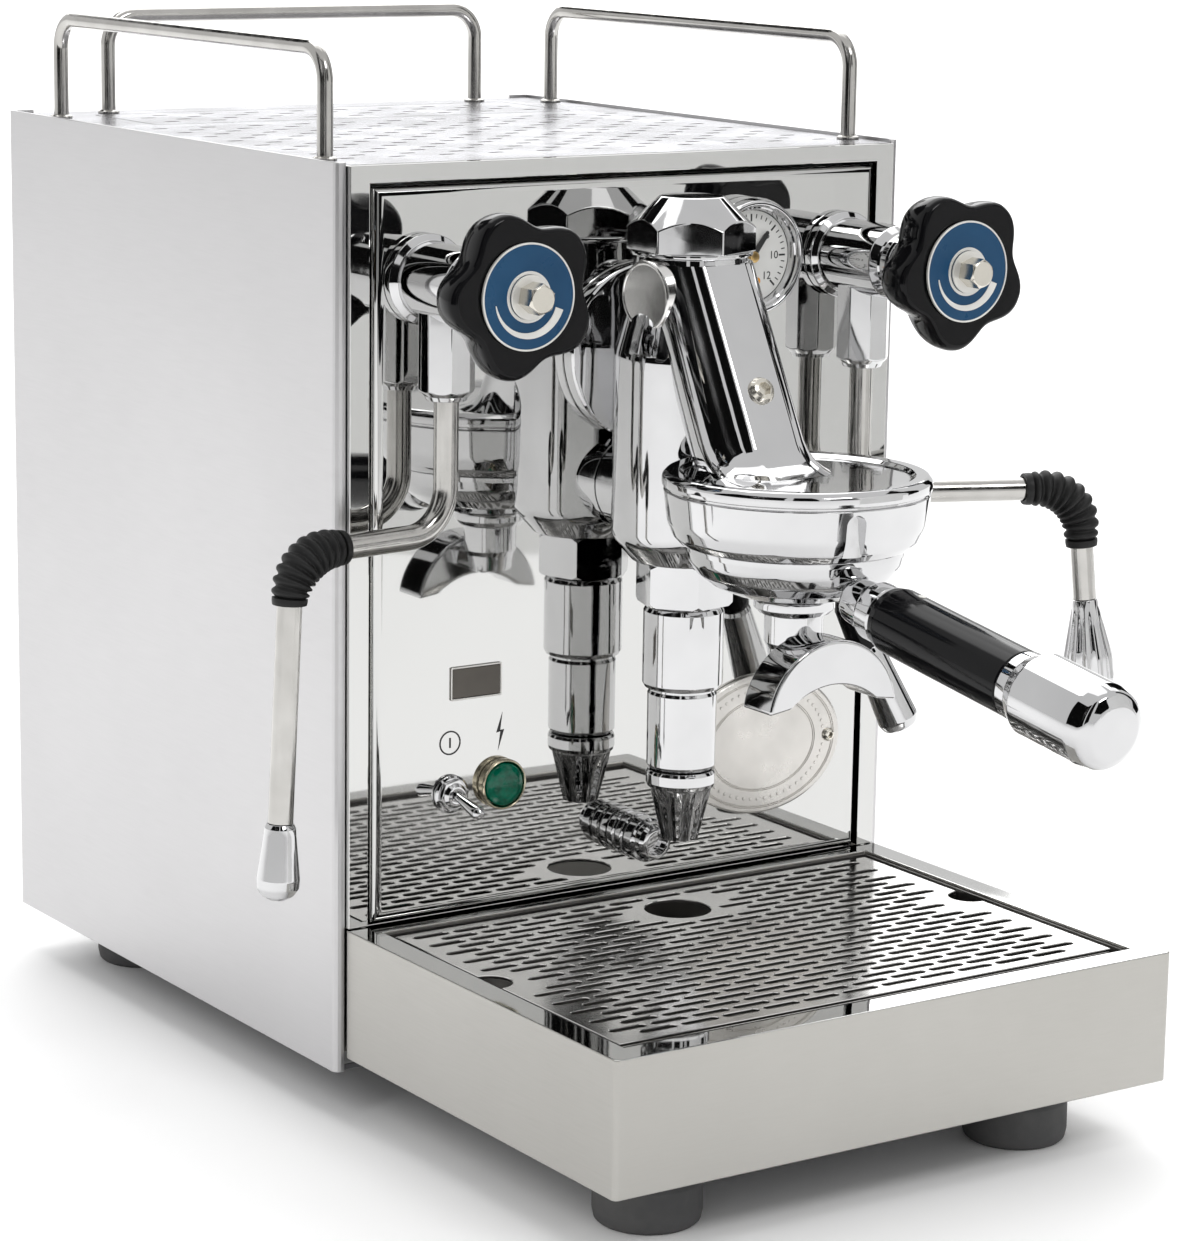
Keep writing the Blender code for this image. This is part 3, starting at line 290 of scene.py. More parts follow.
def lathe(profile, at, axis=(0, 0, 1), sides=96, soft=0.0004, wave=None):
    """A turned shape from (radius, height) points. It closes at the axis, or on itself if it is a ring.
    wave(angle, height) scales the radius, for flutes."""
    ring_shape = profile[0][0] > 0
    points = softened(profile, soft, ring_shape)
    bm = bmesh.new()
    rings = []
    for radius, height in points:
        if radius < 1e-7:
            rings.append([bm.verts.new((0, 0, height))])
            continue
        ring = []
        for k in range(sides):
            angle = math.tau * k / sides
            reach = radius * (wave(angle, height) if wave else 1.0)
            ring.append(bm.verts.new((reach * math.cos(angle), reach * math.sin(angle), height)))
        rings.append(ring)
    pairs = list(zip(rings, rings[1:]))
    if ring_shape:
        pairs.append((rings[-1], rings[0]))
    for first, second in pairs:
        if len(first) == 1 and len(second) == 1:
            continue
        for k in range(sides):
            after = (k + 1) % sides
            corners = [first[k % len(first)], first[after % len(first)]]
            corners += [second[after % len(second)], second[k % len(second)]]
            bm.faces.new(list(dict.fromkeys(corners)))
    turn = UP.rotation_difference(Vector(axis).normalized()).to_matrix().to_4x4()
    moved(bm, Matrix.Translation(Vector(at)) @ turn)
    return bm


def facing(profile, x, z, sides, soft=0.0004):
    """A turned shape whose axis points at the user."""
    return lathe(profile, (x, 0, z), TOWARDS_USER, sides, soft)


def mm(*points):
    """Points given in millimetres, as metres."""
    return [tuple(value / 1000 for value in point) for point in points]


def arc(centre, radius, start, end, steps):
    angles = [math.radians(start + (end - start) * i / steps) for i in range(steps + 1)]
    return [(centre[0] + radius * math.cos(a), centre[1] + radius * math.sin(a)) for a in angles]


def polygon(centre, across_flats, sides, turn=0.0):
    radius = across_flats / 2 / math.cos(math.pi / sides)
    return arc(centre, radius, turn, turn + 360, sides)[:-1]


ALONG = {
    "Z": lambda a, b, c: (a, b, c),
    "Y": lambda a, b, c: (a, c, b),
    "X": lambda a, b, c: (c, a, b),
}


def prism(outline, low, high, axis="Z"):
    """Extrudes a flat outline. Along Z it is (x, y), along Y it is (x, z), along X it is (y, z)."""
    place = ALONG[axis]
    bm = bmesh.new()
    below = [bm.verts.new(place(a, b, low)) for a, b in outline]
    above = [bm.verts.new(place(a, b, high)) for a, b in outline]
    bm.faces.new(below)
    bm.faces.new(above[::-1])
    for k in range(len(outline)):
        after = (k + 1) % len(outline)
        bm.faces.new((below[k], above[k], above[after], below[after]))
    bmesh.ops.recalc_face_normals(bm, faces=bm.faces[:])
    return bm


def box(low, high):
    (x0, y0, z0), (x1, y1, z1) = low, high
    return prism([(x0, y0), (x1, y0), (x1, y1), (x0, y1)], z0, z1)


def rounded_path(corners, radius, steps=12):
    path = [corners[0]]
    for before, corner, after in zip(corners, corners[1:], corners[2:]):
        into, out = (corner - before).normalized(), (after - corner).normalized()
        bend = into.angle(out)
        cut = radius * math.tan(bend / 2)
        centre = corner + (out - into).normalized() * (radius / math.cos(bend / 2))
        spoke = (corner - into * cut) - centre
        turn_axis = into.cross(out).normalized()
        for i in range(steps + 1):
            path.append(centre + Matrix.Rotation(bend * i / steps, 3, turn_axis) @ spoke)
    path.append(corners[-1])
    return path


def even_path(path, count):
    """The same line with points at equal distances."""
    lengths = [0.0]
    for first, second in zip(path, path[1:]):
        lengths.append(lengths[-1] + (second - first).length)
    made, part = [], 0
    for i in range(count + 1):
        along = lengths[-1] * i / count
        while part < len(path) - 2 and lengths[part + 1] < along:
            part += 1
        span = max(lengths[part + 1] - lengths[part], 1e-9)
        made.append(path[part].lerp(path[part + 1], (along - lengths[part]) / span))
    return made


def swept(path, radii, sides=24, inner=None):
    """A round bar along a path, with one radius for each point. With inner it is a sleeve."""
    bm = bmesh.new()
    last = len(path) - 1
    tangents = [
        (path[min(i + 1, last)] - path[max(i - 1, 0)]).normalized() for i in range(last + 1)]
    side = tangents[0].orthogonal().normalized()

    def ring(i, radius):
        up = tangents[i].cross(side)
        angles = [math.tau * k / sides for k in range(sides)]
        return [
            bm.verts.new(path[i] + (side * math.cos(a) + up * math.sin(a)) * radius) for a in angles]

    def bridge(first, second):
        for k in range(sides):
            after = (k + 1) % sides
            bm.faces.new((first[k], first[after], second[after], second[k]))

    outer, inside = [], []
    for i in range(last + 1):
        if i:
            side = tangents[i - 1].rotation_difference(tangents[i]) @ side
        outer.append(ring(i, radii[i]))
        if inner:
            inside.append(ring(i, inner))
    for rings in (outer, inside):
        for first, second in zip(rings, rings[1:]):
            bridge(first, second)
    if inner:
        bridge(outer[0], inside[0])
        bridge(outer[-1], inside[-1])
    else:
        bm.faces.new(outer[0])
        bm.faces.new(outer[-1])
    return bm


def loft(levels):
    bm = bmesh.new()
    rings = [[bm.verts.new(point) for point in level] for level in levels]
    for first, second in zip(rings, rings[1:]):
        for k in range(len(first)):
            after = (k + 1) % len(first)
            bm.faces.new((first[k], first[after], second[after], second[k]))
    bm.faces.new(rings[0])
    bm.faces.new(rings[-1])
    bmesh.ops.recalc_face_normals(bm, faces=bm.faces[:])
    return bm


def slot_loop(x, y, length, width):
    """A slot with round ends, as a loop that can be grown."""

    def loop(grow):
        half, reach = length / 2 - width / 2, width / 2 + grow
        return arc((x + half, y), reach, -90, 90, 5) + arc((x - half, y), reach, 90, 270, 5)

    return loop


def staggered(rows, columns, x, y, across, along):
    """The middles of rows of slots. Each second row is half a pitch over and one slot shorter."""
    for row in range(rows):
        for column in range(columns - row % 2):
            yield x + across * column + (across / 2 if row % 2 else 0.0), y + along * row


def circle_loop(x, y, radius, steps=48):
    return lambda grow: arc((x, y), radius + grow, 0, 360, steps)[:-1]


def rect_loop(low, high, corner=0.001, steps=4):
    def loop(grow):
        x0, y0 = low[0] - grow, low[1] - grow
        x1, y1 = high[0] + grow, high[1] + grow
        made = arc((x1 - corner, y0 + corner), corner, -90, 0, steps)
        made += arc((x1 - corner, y1 - corner), corner, 0, 90, steps)
        made += arc((x0 + corner, y1 - corner), corner, 90, 180, steps)
        return made + arc((x0 + corner, y0 + corner), corner, 180, 270, steps)

    return loop


def pierced(outer, holes, low, high, edge=0.0002, axis="Z"):
    """A flat sheet with holes and a fine bevel along every rim."""
    place = ALONG[axis]
    rims = [outer(-edge)] + [hole(edge) for hole in holes]
    walls = [outer(0.0)] + [hole(0.0) for hole in holes]
    flat = [Vector(point) for rim in rims for point in rim]
    edges, owner, start = [], [], 0
    for number_of_rim, rim in enumerate(rims):
        edges += [(start + k, start + (k + 1) % len(rim)) for k in range(len(rim))]
        owner += [number_of_rim] * len(rim)
        start += len(rim)
    made = geometry.delaunay_2d_cdt(flat, edges, [], 1, 1e-8)
    faces, origin = made[2], made[3]
    bm = bmesh.new()

    def layer(loops, height):
        return [bm.verts.new(place(a, b, height)) for loop in loops for a, b in loop]

    layers = [layer(rims, low), layer(walls, low + edge), layer(walls, high - edge), layer(rims, high)]
    for face in faces:
        corners = [origin[k][0] for k in face]
        owners = {owner[k] for k in corners}
        if len(owners) == 1 and owners != {0}:
            continue  # The holes are convex, so this face lies inside one
        bm.faces.new([layers[3][k] for k in corners])
        bm.faces.new([layers[0][k] for k in reversed(corners)])
    for below, above in zip(layers, layers[1:]):
        for first, second in edges:
            bm.faces.new((below[first], below[second], above[second], above[first]))
    bmesh.ops.recalc_face_normals(bm, faces=bm.faces[:])
    return bm


def link(name, bm):
    mesh = bpy.data.meshes.new(name)
    bm.to_mesh(mesh)
    bm.free()
    made = bpy.data.objects.new(name, mesh)
    bpy.context.scene.collection.objects.link(made)
    return made


def combined(bm, tool, operation="DIFFERENCE"):
    """A Boolean of two shapes, worked out at once."""
    for part in (bm, tool):
        bmesh.ops.recalc_face_normals(part, faces=part.faces[:])
    first, second = link("working", bm), link("working_tool", tool)
    cut = first.modifiers.new("cut", "BOOLEAN")
    cut.operation, cut.object, cut.solver = operation, second, "EXACT"
    bpy.context.view_layer.update()
    result = first.evaluated_get(bpy.context.evaluated_depsgraph_get())
    made = bmesh.new()
    made.from_mesh(result.to_mesh())
    for old in (first, second):
        bpy.data.objects.remove(old, do_unlink=True)
    return made


def joined(*parts):
    """Several shapes in one bmesh."""
    whole = bmesh.new()
    for part in parts:
        mesh = bpy.data.meshes.new("part")
        bmesh.ops.recalc_face_normals(part, faces=part.faces[:])
        part.to_mesh(mesh)
        part.free()
        whole.from_mesh(mesh)
        bpy.data.meshes.remove(mesh)
    return whole


def put(name, bm, look, body, slot=None, replaces=(), angle=32, bevel=0.0, segments=2, second=None):
    """Makes a piece that rides on its body.
    second is another look and a test for the faces that it covers."""
    bmesh.ops.remove_doubles(bm, verts=bm.verts[:], dist=1e-7)
    bmesh.ops.recalc_face_normals(bm, faces=bm.faces[:])
    if second:
        for face in bm.faces:
            if second[1](face):
                face.material_index = 1
    bmesh.ops.translate(bm, verts=bm.verts[:], vec=SHIFT)
    piece = link(name, bm)
    piece.data.materials.append(LOOKS[look])
    if second:
        piece.data.materials.append(LOOKS[second[0]])
    piece.data.shade_smooth()
    if bevel:
        soft = piece.modifiers.new("soft", "BEVEL")
        soft.width, soft.segments, soft.limit_method = bevel, segments, "ANGLE"
        soft.angle_limit = math.radians(30)
        soft.use_clamp_overlap = True
    else:
        piece.data.set_sharp_from_angle(angle=math.radians(angle))
    weigh = piece.modifiers.new("normals", "WEIGHTED_NORMAL")
    weigh.keep_sharp, weigh.weight = True, 90
    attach(piece, body)
    if replaces:
        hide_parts(*replaces)
    return piece


def plated(name, bm, replaces=(), **more):
    """A piece of polished chrome on the body."""
    return put(name, bm, "chrome", "body", "polished", replaces, **more)


def keep(node, look, bevel=0.0):
    """A CAD node that stays, with its own material and lightly broken edges."""
    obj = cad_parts[node]
    obj.data.materials.clear()
    obj.data.materials.append(LOOKS[look])
    if bevel:
        weld = obj.modifiers.new("weld", "WELD")
        weld.merge_threshold = 1e-5
        soft = obj.modifiers.new("soft", "BEVEL")
        soft.width, soft.segments, soft.limit_method = bevel, 2, "ANGLE"
        soft.angle_limit = math.radians(40)


def screw_head(name, at, axis, radius, body="body", depth=0.0016, slot="polished"):
    """A round-headed screw with a hexagon socket."""
    at, axis = Vector(at), Vector(axis).normalized()
    dome = [
        (0, 0), (radius, 0), (radius, depth * 0.35), (radius * 0.8, depth * 0.85),
        (radius * 0.55, depth), (0, depth)]
    head = lathe(dome, at, axis, 48, 0.0002)
    turn = UP.rotation_difference(axis).to_matrix().to_4x4()
    socket = prism(polygon((0, 0), radius * 0.92, 6, 8), depth * 0.3, depth * 2)
    moved(socket, Matrix.Translation(at) @ turn)
    return put(name, combined(head, socket), "nickel", body, slot)


# Body


def body_shell():
    keep("side_panel_left", "satin", 0.0003)
    keep("side_panel_right", "satin", 0.0003)
    keep("back_panel", "satin", 0.0002)
    keep("base_plate", "coat", 0.0002)
    keep("front_frame", "mirror", 0.0003)
    keep("water_tank", "clear", 0.0004)
    keep("boiler", "boiler")
    keep("pump", "grey")

    # Faces that do not point up (slot walls, rims and underside) get painted shade
    def wall(face):
        return face.normal.z < 0.9

    def sheet(outer, rows, columns, x, y, extra=()):
        middles = staggered(rows, columns, x, y, *DECK_PITCH)
        slots = [slot_loop(*middle, *DECK_SLOT) for middle in middles]
        return pierced(outer, slots + list(extra), DECK_TOP - DECK_THICK, DECK_TOP)

    opening = rect_loop((-0.098, 0.188), (0.098, 0.244), 0.003)
    deck = sheet(rect_loop((-INSIDE, 0.0018), (INSIDE, 0.263)), 15, 11, -0.106, 0.026, [opening])
    # Both sheets carry painted shade on their slot walls
    put("top_deck", deck, "deck", "body", "polished", ["cup_tray"], second=("shade", wall))
    lid = sheet(rect_loop((-0.0975, 0.1885), (0.0975, 0.2435), 0.0025), 4, 9, -0.0848, 0.2005)
    put("tank_cover", lid, "deck", "tank_lid", "polished", ["tank_lid"], second=("shade", wall))

    runs = {
        "left": ((-0.117, 0.022), (-0.117, 0.234)),
        "right": ((0.117, 0.022), (0.117, 0.234)),
        "back": ((-0.088, 0.25), (0.088, 0.25)),
    }
    for side, ((x0, y0), (x1, y1)) in runs.items():
        corners = [Vector((x0, y0, RAIL_FOOT)), Vector((x0, y0, RAIL_TOP))]
        corners += [Vector((x1, y1, RAIL_TOP)), Vector((x1, y1, RAIL_FOOT))]
        path = rounded_path(corners, 0.012, 14)
        rod = swept(path, [RAIL_RADIUS] * len(path), 32)
        collar = mm((3, 0), (4.4, 0), (4.4, 0.8), (3.4, 1.4), (3, 1.4))
        rings = [lathe(collar, (x, y, 0.3521), sides=48, soft=0.0002) for x, y in ((x0, y0), (x1, y1))]
        put("rail_" + side, joined(rod, *rings), "tube", "body", "polished", ["cup_rail_" + side])

    foot = mm(
        (0, 0), (17.2, 0, 1.2), (18.6, 1.2, 1), (19.3, 4.5, 4), (19.2, 15, 2), (18, 18.9), (0, 18.9))
    places = {"front_left": (-0.082, -0.1404), "front_right": (0.082, -0.1404)}
    places.update({"rear_left": (-0.088, 0.225), "rear_right": (0.088, 0.225)})
    for place, (x, y) in places.items():
        shape = lathe(foot, (x, y, 0), sides=64)
        put("rubber_foot_" + place, shape, "rubber", "body", "rubber", ["foot_" + place])


def front_panel():
    """A pan whose folded edges are rounded, with holes for what is mounted in it."""
    low, high = (-PANEL_HALF, PANEL_FACE, PANEL_BOTTOM), (PANEL_HALF, 0.012, PANEL_TOP)
    pan = box(low, high)
    front = [
        edge for edge in pan.edges if all(abs(vert.co.y - PANEL_FACE) < 1e-6 for vert in edge.verts)]
    bmesh.ops.bevel(pan, geom=front, offset=0.0042, segments=10, profile=0.5, affect="EDGES")
    skin = 0.0012
    hollow = box(
        (low[0] + skin, PANEL_FACE + skin, low[2] + skin), (high[0] - skin, 0.03, high[2] - skin))
    pan = combined(pan, hollow)
    holes = [box((-0.0775, -0.02, 0.1555), (-0.0575, 0.02, 0.167))]
    for (x, z), radius in ((GAUGE, 0.0195), (LAMP, 0.0086), (TOGGLE, 0.0036)):
        holes.append(prism(arc((x, z), radius, 0, 360, 48)[:-1], -0.02, 0.02, "Y"))
    for hole in holes:
        pan = combined(pan, hole)
    put("mirror_panel", pan, "mirror", "body", "polished", ["front_panel"])


def flat_marks(name, outlines, y_back, y_front, look, body="body"):
    put(name, joined(*[prism(points, y_front, y_back, "Y") for points in outlines]), look, body)


def band(centre, inner, outer, start, end, steps=40):
    """Part of a ring as an outline."""
    return arc(centre, outer, start, end, steps) + arc(centre, inner, end, start, steps)


def bar_outline(first, second, width):
    """A thin stroke between two points."""
    first, second = Vector(first), Vector(second)
    across = (second - first).normalized().orthogonal() * width / 2
    return [
        tuple(first + across), tuple(second + across), tuple(second - across), tuple(first - across)]


def icons():
    """A power mark over the switch and a bolt over the lamp, in thin black ink."""
    x, z = -0.0783, 0.1392
    power = [band((x, z), 0.004, 0.0046, 0.5, 359.5)]
    power.append(bar_outline((x, z - 0.0019), (x, z + 0.0019), 0.0007))
    flat_marks("power_icon", power, PANEL_FACE, PANEL_FACE - 0.0001, "ink_and_hole_shade")
    x, z = -0.0566, 0.1411
    bolt = mm((1, 7.2), (-1.6, -0.4), (0.2, -0.1), (-0.8, -7.2), (1.8, 0.6), (0.1, 0.4))
    flat_marks(
        "bolt_icon", [[(x + a, z + b) for a, b in bolt]], PANEL_FACE, PANEL_FACE - 0.0001, "ink_and_hole_shade")


def gauge():
    x, z = GAUGE
    centre = (x, 0, z)
    case = mm(
        (0, -18), (18.8, -18), (18.8, 3.3), (22.2, 3.3, 1), (22.3, 9.5, 2.5), (21.2, 12.9, 2),
        (20, 13, 1), (19.2, 12.2, 0.6), (19, 11.2, 0.4), (18.2, 10.6, 0.6), (17.6, 9), (17.5, 6), (0, 6)
    )
    plated("gauge_housing", lathe(case, centre, TOWARDS_USER, 128), ["gauge_case"])
    dial = mm((0, 6.3), (17.4, 6.3), (17.4, 8), (0, 8))
    put(
        "dial_plate", lathe(dial, centre, TOWARDS_USER, 128, 0.0001), "dial", "body", "white",
        ["gauge_dial"])
    marks = []
    for i in range(GAUGE_TICKS):
        angle = math.radians(GAUGE_START - GAUGE_STEP * i)
        spoke = Vector((math.cos(angle), math.sin(angle)))
        inner = 0.0132 if i % 5 == 0 else 0.0144
        width = 0.0007 if i % 5 == 0 else 0.0004
        start, end = Vector(GAUGE) + spoke * inner, Vector(GAUGE) + spoke * 0.016
        marks.append(bar_outline(start, end, width))
    parts = [prism(points, -0.00808, -0.0079, "Y") for points in marks]
    for i in range(0, GAUGE_TICKS, 5):
        angle = math.radians(GAUGE_START - GAUGE_STEP * i)
        spot = Vector(GAUGE) + Vector((math.cos(angle), math.sin(angle))) * 0.0108
        parts.append(number(str(i // 5 * 2), spot))
    put("gauge_marks", joined(*parts), "ink_and_hole_shade", "body", "black")
    dot = mm((0, 7.9), (1.4, 7.9), (1.3, 8.3), (0, 8.4))
    put(
        "gauge_stop", lathe(dot, (x + 0.0034, 0, z - 0.0094), TOWARDS_USER, 32, 0.0001), "orange",
        "body")
    outline = mm((-1.4, -5.8), (1.4, -5.8), (0.9, 10), (0.4, 11.2), (-0.4, 11.2), (-0.9, 10))
    hand = prism(outline, -0.0096, -0.009, "Y")
    pin = lathe(mm((0, 8.3), (2.4, 8.3), (2.4, 9.4), (0, 9.4)), (0, 0, 0), TOWARDS_USER, 32, 0.0001)
    hand = joined(hand, pin)
    turn = Matrix.Translation(centre) @ Matrix.Rotation(NEEDLE_TURN, 4, "Y")
    moved(hand, turn)
    put("needle_blade", hand, "ink_and_hole_shade", "gauge_needle", "black", ["gauge_needle"])
    hub = mm((0, 9.5), (2.2, 9.5), (2.1, 11), (0, 11.3))
    put("needle_hub", lathe(hub, centre, TOWARDS_USER, 40, 0.0002), "brass", "gauge_needle", "brass")


def number(words, spot):
    """A generic number on the dial, as a thin raised mark."""
    curve = bpy.data.curves.new("figure", "FONT")
    curve.body, curve.size = words, 0.0042
    curve.align_x, curve.align_y = "CENTER", "CENTER"
    curve.extrude, curve.resolution_u = 0.00008, 3
    holder = bpy.data.objects.new("figure", curve)
    bpy.context.scene.collection.objects.link(holder)
    bpy.context.view_layer.update()
    evaluated = holder.evaluated_get(bpy.context.evaluated_depsgraph_get())
    made = bmesh.new()
    made.from_mesh(evaluated.to_mesh())
    bpy.data.objects.remove(holder, do_unlink=True)
    stand = Matrix.Translation((spot.x, -0.008, spot.y)) @ Matrix.Rotation(math.radians(90), 4, "X")
    moved(made, stand)
    return made


def panel_fittings():
    rim = pierced(
        rect_loop((-0.0784, 0.155), (-0.0565, 0.1675), 0.0006),
        [rect_loop((-0.0779, 0.1556), (-0.057, 0.1669), 0.0003)],
        -0.0039,
        -0.0033,
        0.0001,
        "Y",
    )
    put("display_bezel", rim, "silver", "body", "black", ["pid_controller"])
    window = prism(rect_loop((-0.0777, 0.1558), (-0.0572, 0.1667), 0.0003)(0.0), -0.0037, -0.0031, "Y")
    put("display_window", window, "glass", "body", "black", bevel=0.0002)

    x, z = BADGE
    face = mm((0, 3.3), (27.6, 3.3), (27.6, 4.8, 0.4), (26.8, 5.3))
    for groove in (0.0256, 0.025, 0.0188, 0.0182):
        face += [(groove, 0.0053, 0), (groove - 0.00015, 0.005, 0)]
        face += [(groove - 0.00035, 0.005, 0), (groove - 0.0005, 0.0053, 0)]
    face.append((0, 0.0053))
    plate = lathe(face, (0, 0, 0), TOWARDS_USER, 192, 0.0002)
    widen = Matrix.Translation((x, 0, z)) @ Matrix.Diagonal((BADGE_WIDEN, 1, 1, 1))
    moved(plate, widen)
    put("oval_plate", plate, "plate", "body", "brushed", ["badge_plate"])
    dots = []
    for i in range(56):
        angle = math.tau * (i + 0.5) / 56
        if abs(math.sin(angle)) < 0.15:
            continue
        spot = (x + 0.0219 * BADGE_WIDEN * math.cos(angle), 0.0, z + 0.0219 * math.sin(angle))
        dots.append(lathe(
            mm((0, 5.2), (0.7, 5.2), (0.6, 5.5), (0, 5.5)), spot, TOWARDS_USER, 16, 0.0001))
    put("plate_studs", joined(*dots), "plate", "body", "brushed")
    for side in (-1, 1):
        screw_head("plate_screw_%d" % (side + 1), (x + side * 0.032, -0.0053, z), TOWARDS_USER, 0.0026)

    x, z = LAMP
    bezel = mm(
        (8.2, -8), (8.2, 3.3), (9.4, 3.3, 0.4), (9.6, 4, 0.6), (9.6, 6.6, 0.8), (9, 7.2, 0.4),
        (8.6, 6.8, 0.4), (8.2, 5), (7.8, -8))
    put("lamp_ring", facing(bezel, x, z, 96), "ring", "body", "brass", ["lamp_bezel"])
    lens = mm((0, -7.5), (7.2, -7.5), (7.5, 4, 0.4), (8.1, 5.6, 0.4), (8, 7, 1), (5.6, 8, 3), (0, 8.5))
    put("lamp_glass", facing(lens, x, z, 96), "lens", "body", "green", ["lamp_lens"])

    x, z = TOGGLE
    base = mm(
        (2, -15), (3.3, -15), (3.3, 3.3), (7.2, 3.3), (7.2, 4.4), (6.2, 5), (5, 5), (4.7, 7),
        (3.6, 8.2), (2, 8.2))
    plated("switch_bushing", facing(base, x, z, 72, 0.0003), ["toggle_bushing"])
    nut = prism(polygon((x, z), 0.0108, 6, 11), -0.0068, -0.0046, "Y")
    plated("switch_nut", nut, bevel=0.0003)
    tilt = math.radians(12.0)
    direction = Vector((0, -math.cos(tilt), -math.sin(tilt)))
    start = Vector((x, -0.0086, z))
    stick = mm(
        (0, 0), (1.6, 0, 0.1), (1.7, 3), (2.6, 12.5, 4), (2.6, 15.2, 2), (1.2, 16.8, 1), (0, 16.8))
    put(
        "switch_bat", lathe(stick, start, direction, 48), "chrome", "toggle", "polished",
        ["toggle_lever"])


# Group


def neck_level(z, grow):
    """One level of the leaning neck: round, with a flat front face that spreads at the foot."""
    middle = NECK_TOP.y - (NECK_TOP.z - z) * NECK_LEAN
    ring = []
    for i in range(144):
        angle = math.tau * i / 144
        spread = grow * max(math.cos(angle), 0.0) ** 0.7
        across, ahead = NECK_RADIUS * math.sin(angle), NECK_RADIUS * math.cos(angle)
        if ahead > NECK_FLAT:
            ahead = NECK_FLAT
            across = math.tan(angle) * NECK_FLAT
        ring.append(Vector((GROUP_X + across * (1 + spread / 0.05), middle - ahead - spread, z)))
    return ring


def group():
    top, bottom = 0.319, 0.206
    column = [
        (0, bottom), (0.0195, bottom, 0.002), (COLUMN_RADIUS, 0.215, 0.008),
        (COLUMN_RADIUS, 0.283, 0.012), (0.0225, 0.301, 0.01), (0.0205, top, 0.001), (0, top)]
    column_piece = lathe(column, COLUMN, sides=128, soft=0.001)
    flange = lathe(mm((0, 0), (33, 0, 1), (33, 6, 2), (0, 8)), (GROUP_X, -0.0033, 0.28), TOWARDS_USER)
    lower = lathe(mm((0, 0), (18, 0), (18, 26.7), (0, 26.7)), (GROUP_X, -0.0033, 0.23), TOWARDS_USER)
    plated("group_column", column_piece, ["group_body"])
    plated("group_flange", joined(flange, lower))

    flare = (
        (0.2462, 0.012), (0.2474, 0.0078), (0.2488, 0.0046), (0.2506, 0.0024), (0.253, 0.0009),
        (0.256, 0.0))
    rings = [neck_level(z, grow) for z, grow in flare]
    rings += [neck_level(0.256 + 0.0606 * i / 10, 0.0) for i in range(1, 11)]
    neck = loft(rings)
    inner_edges = [edge for edge in neck.edges if len(edge.link_faces) == 2]
    sharp = [edge for edge in inner_edges if edge.calc_face_angle(0.0) > 0.25]
    front_edges = [edge for edge in sharp if abs(edge.verts[0].co.z - edge.verts[1].co.z) > 1e-5]
    bmesh.ops.bevel(neck, geom=front_edges, offset=0.0005, segments=3, profile=0.5, affect="EDGES")
    plated("group_neck", neck, angle=50)
    outwards = Vector((0, -1, NECK_LEAN)).normalized()
    face_y = NECK_TOP.y - (NECK_TOP.z - NECK_SCREW_Z) * NECK_LEAN - NECK_FLAT
    screw_head("neck_screw", (GROUP_X, face_y, NECK_SCREW_Z), outwards, 0.005, depth=0.0028)
    plug = mm((0, 0), (14, 0), (14, 3, 4), (12.6, 6.4, 1.2), (11.8, 6.8, 0.4), (11.2, 6.4), (0, 6.4))
    put(
        "side_plug", lathe(plug, SIDE_PLUG, (-1, -0.12, 0), 96), "grille", "body",
        "polished")

    radius = BELL_RADIUS
    skirt = [
        (0, 0.241), (0.0385, 0.241), (0.0385, BELL_BOTTOM + 0.001, 0.0005),
        (radius - 0.0066, BELL_BOTTOM, 0.0006), (radius - 0.004, BELL_BOTTOM + 0.0026, 0.004),
        (radius - 0.002, BELL_BOTTOM + 0.0075, 0.01), (radius - 0.001, 0.2395, 0.01),
        (radius - 0.0006, 0.2424, 0.0004), (radius - 0.0016, 0.2427, 0.0001),
        (radius - 0.0016, 0.2434, 0.0001), (radius - 0.0002, 0.2438, 0.0004), (radius, 0.245, 0.001),
        (radius, 0.2472, 0.0018), (radius - 0.0018, BELL_RIM, 0.0016), (radius - 0.0062, 0.2488, 0.001),
        (radius - 0.008, 0.2474, 0.002)]
    skirt += mm((26, 246.6, 10), (0, 246.6))
    bell = lathe(skirt, BELL, sides=192)

    def notch(angle, width, foot, head, depth):
        """A groove in the skirt with a round top, cut inwards from the outside."""
        half = width / 2
        outline = [(-half, foot), (half, foot)] + arc((0, head - half), half, 0, 180, 12)
        tool = prism(outline, radius - depth, radius + 0.005, "Y")
        turn = Matrix.Translation(BELL) @ Matrix.Rotation(math.radians(angle) - math.pi / 2, 4, "Z")
        moved(tool, turn)
        return tool

    bell = combined(bell, notch(-100.5, 0.0074, 0.22, 0.241, 0.0046))
    bell = combined(bell, notch(-165.0, 0.0007, 0.2255, 0.2425, 0.0016))
    plated("group_bell", bell, angle=40)
    holes = []
    for ring in range(1, 8):
        for i in range(6 * ring):
            angle = math.tau * i / (6 * ring)
            spread = 0.0036 * ring
            spot = (BELL.x + spread * math.cos(angle), BELL.y + spread * math.sin(angle))
            holes.append(circle_loop(*spot, 0.0007, 8))
    sieve = pierced(circle_loop(BELL.x, BELL.y, 0.0298, 96), holes, 0.2395, 0.2406, 0.0001)
    put("sieve", sieve, "inner", "body", "brushed", ["shower_screen"])

    low = 0.3201
    hexagon = prism(polygon((COLUMN.x, COLUMN.y), 0.0408, 6, 24.0), low, 0.3398)
    dome = [(0, low - 0.002), (0.024, low - 0.002), (0.024, 0.3282), (0.0118, 0.3398), (0, 0.3398)]
    cap = combined(hexagon, lathe(dome, COLUMN, sides=160, soft=0), "INTERSECT")
    plated("cap_nut", cap, ["group_cap"], bevel=0.0005, segments=3)
    washer = mm((0, 318.8), (22.5, 318.8), (22.5, 320.3), (0, 320.3))
    plated("cap_washer", lathe(washer, COLUMN, soft=0.0005))

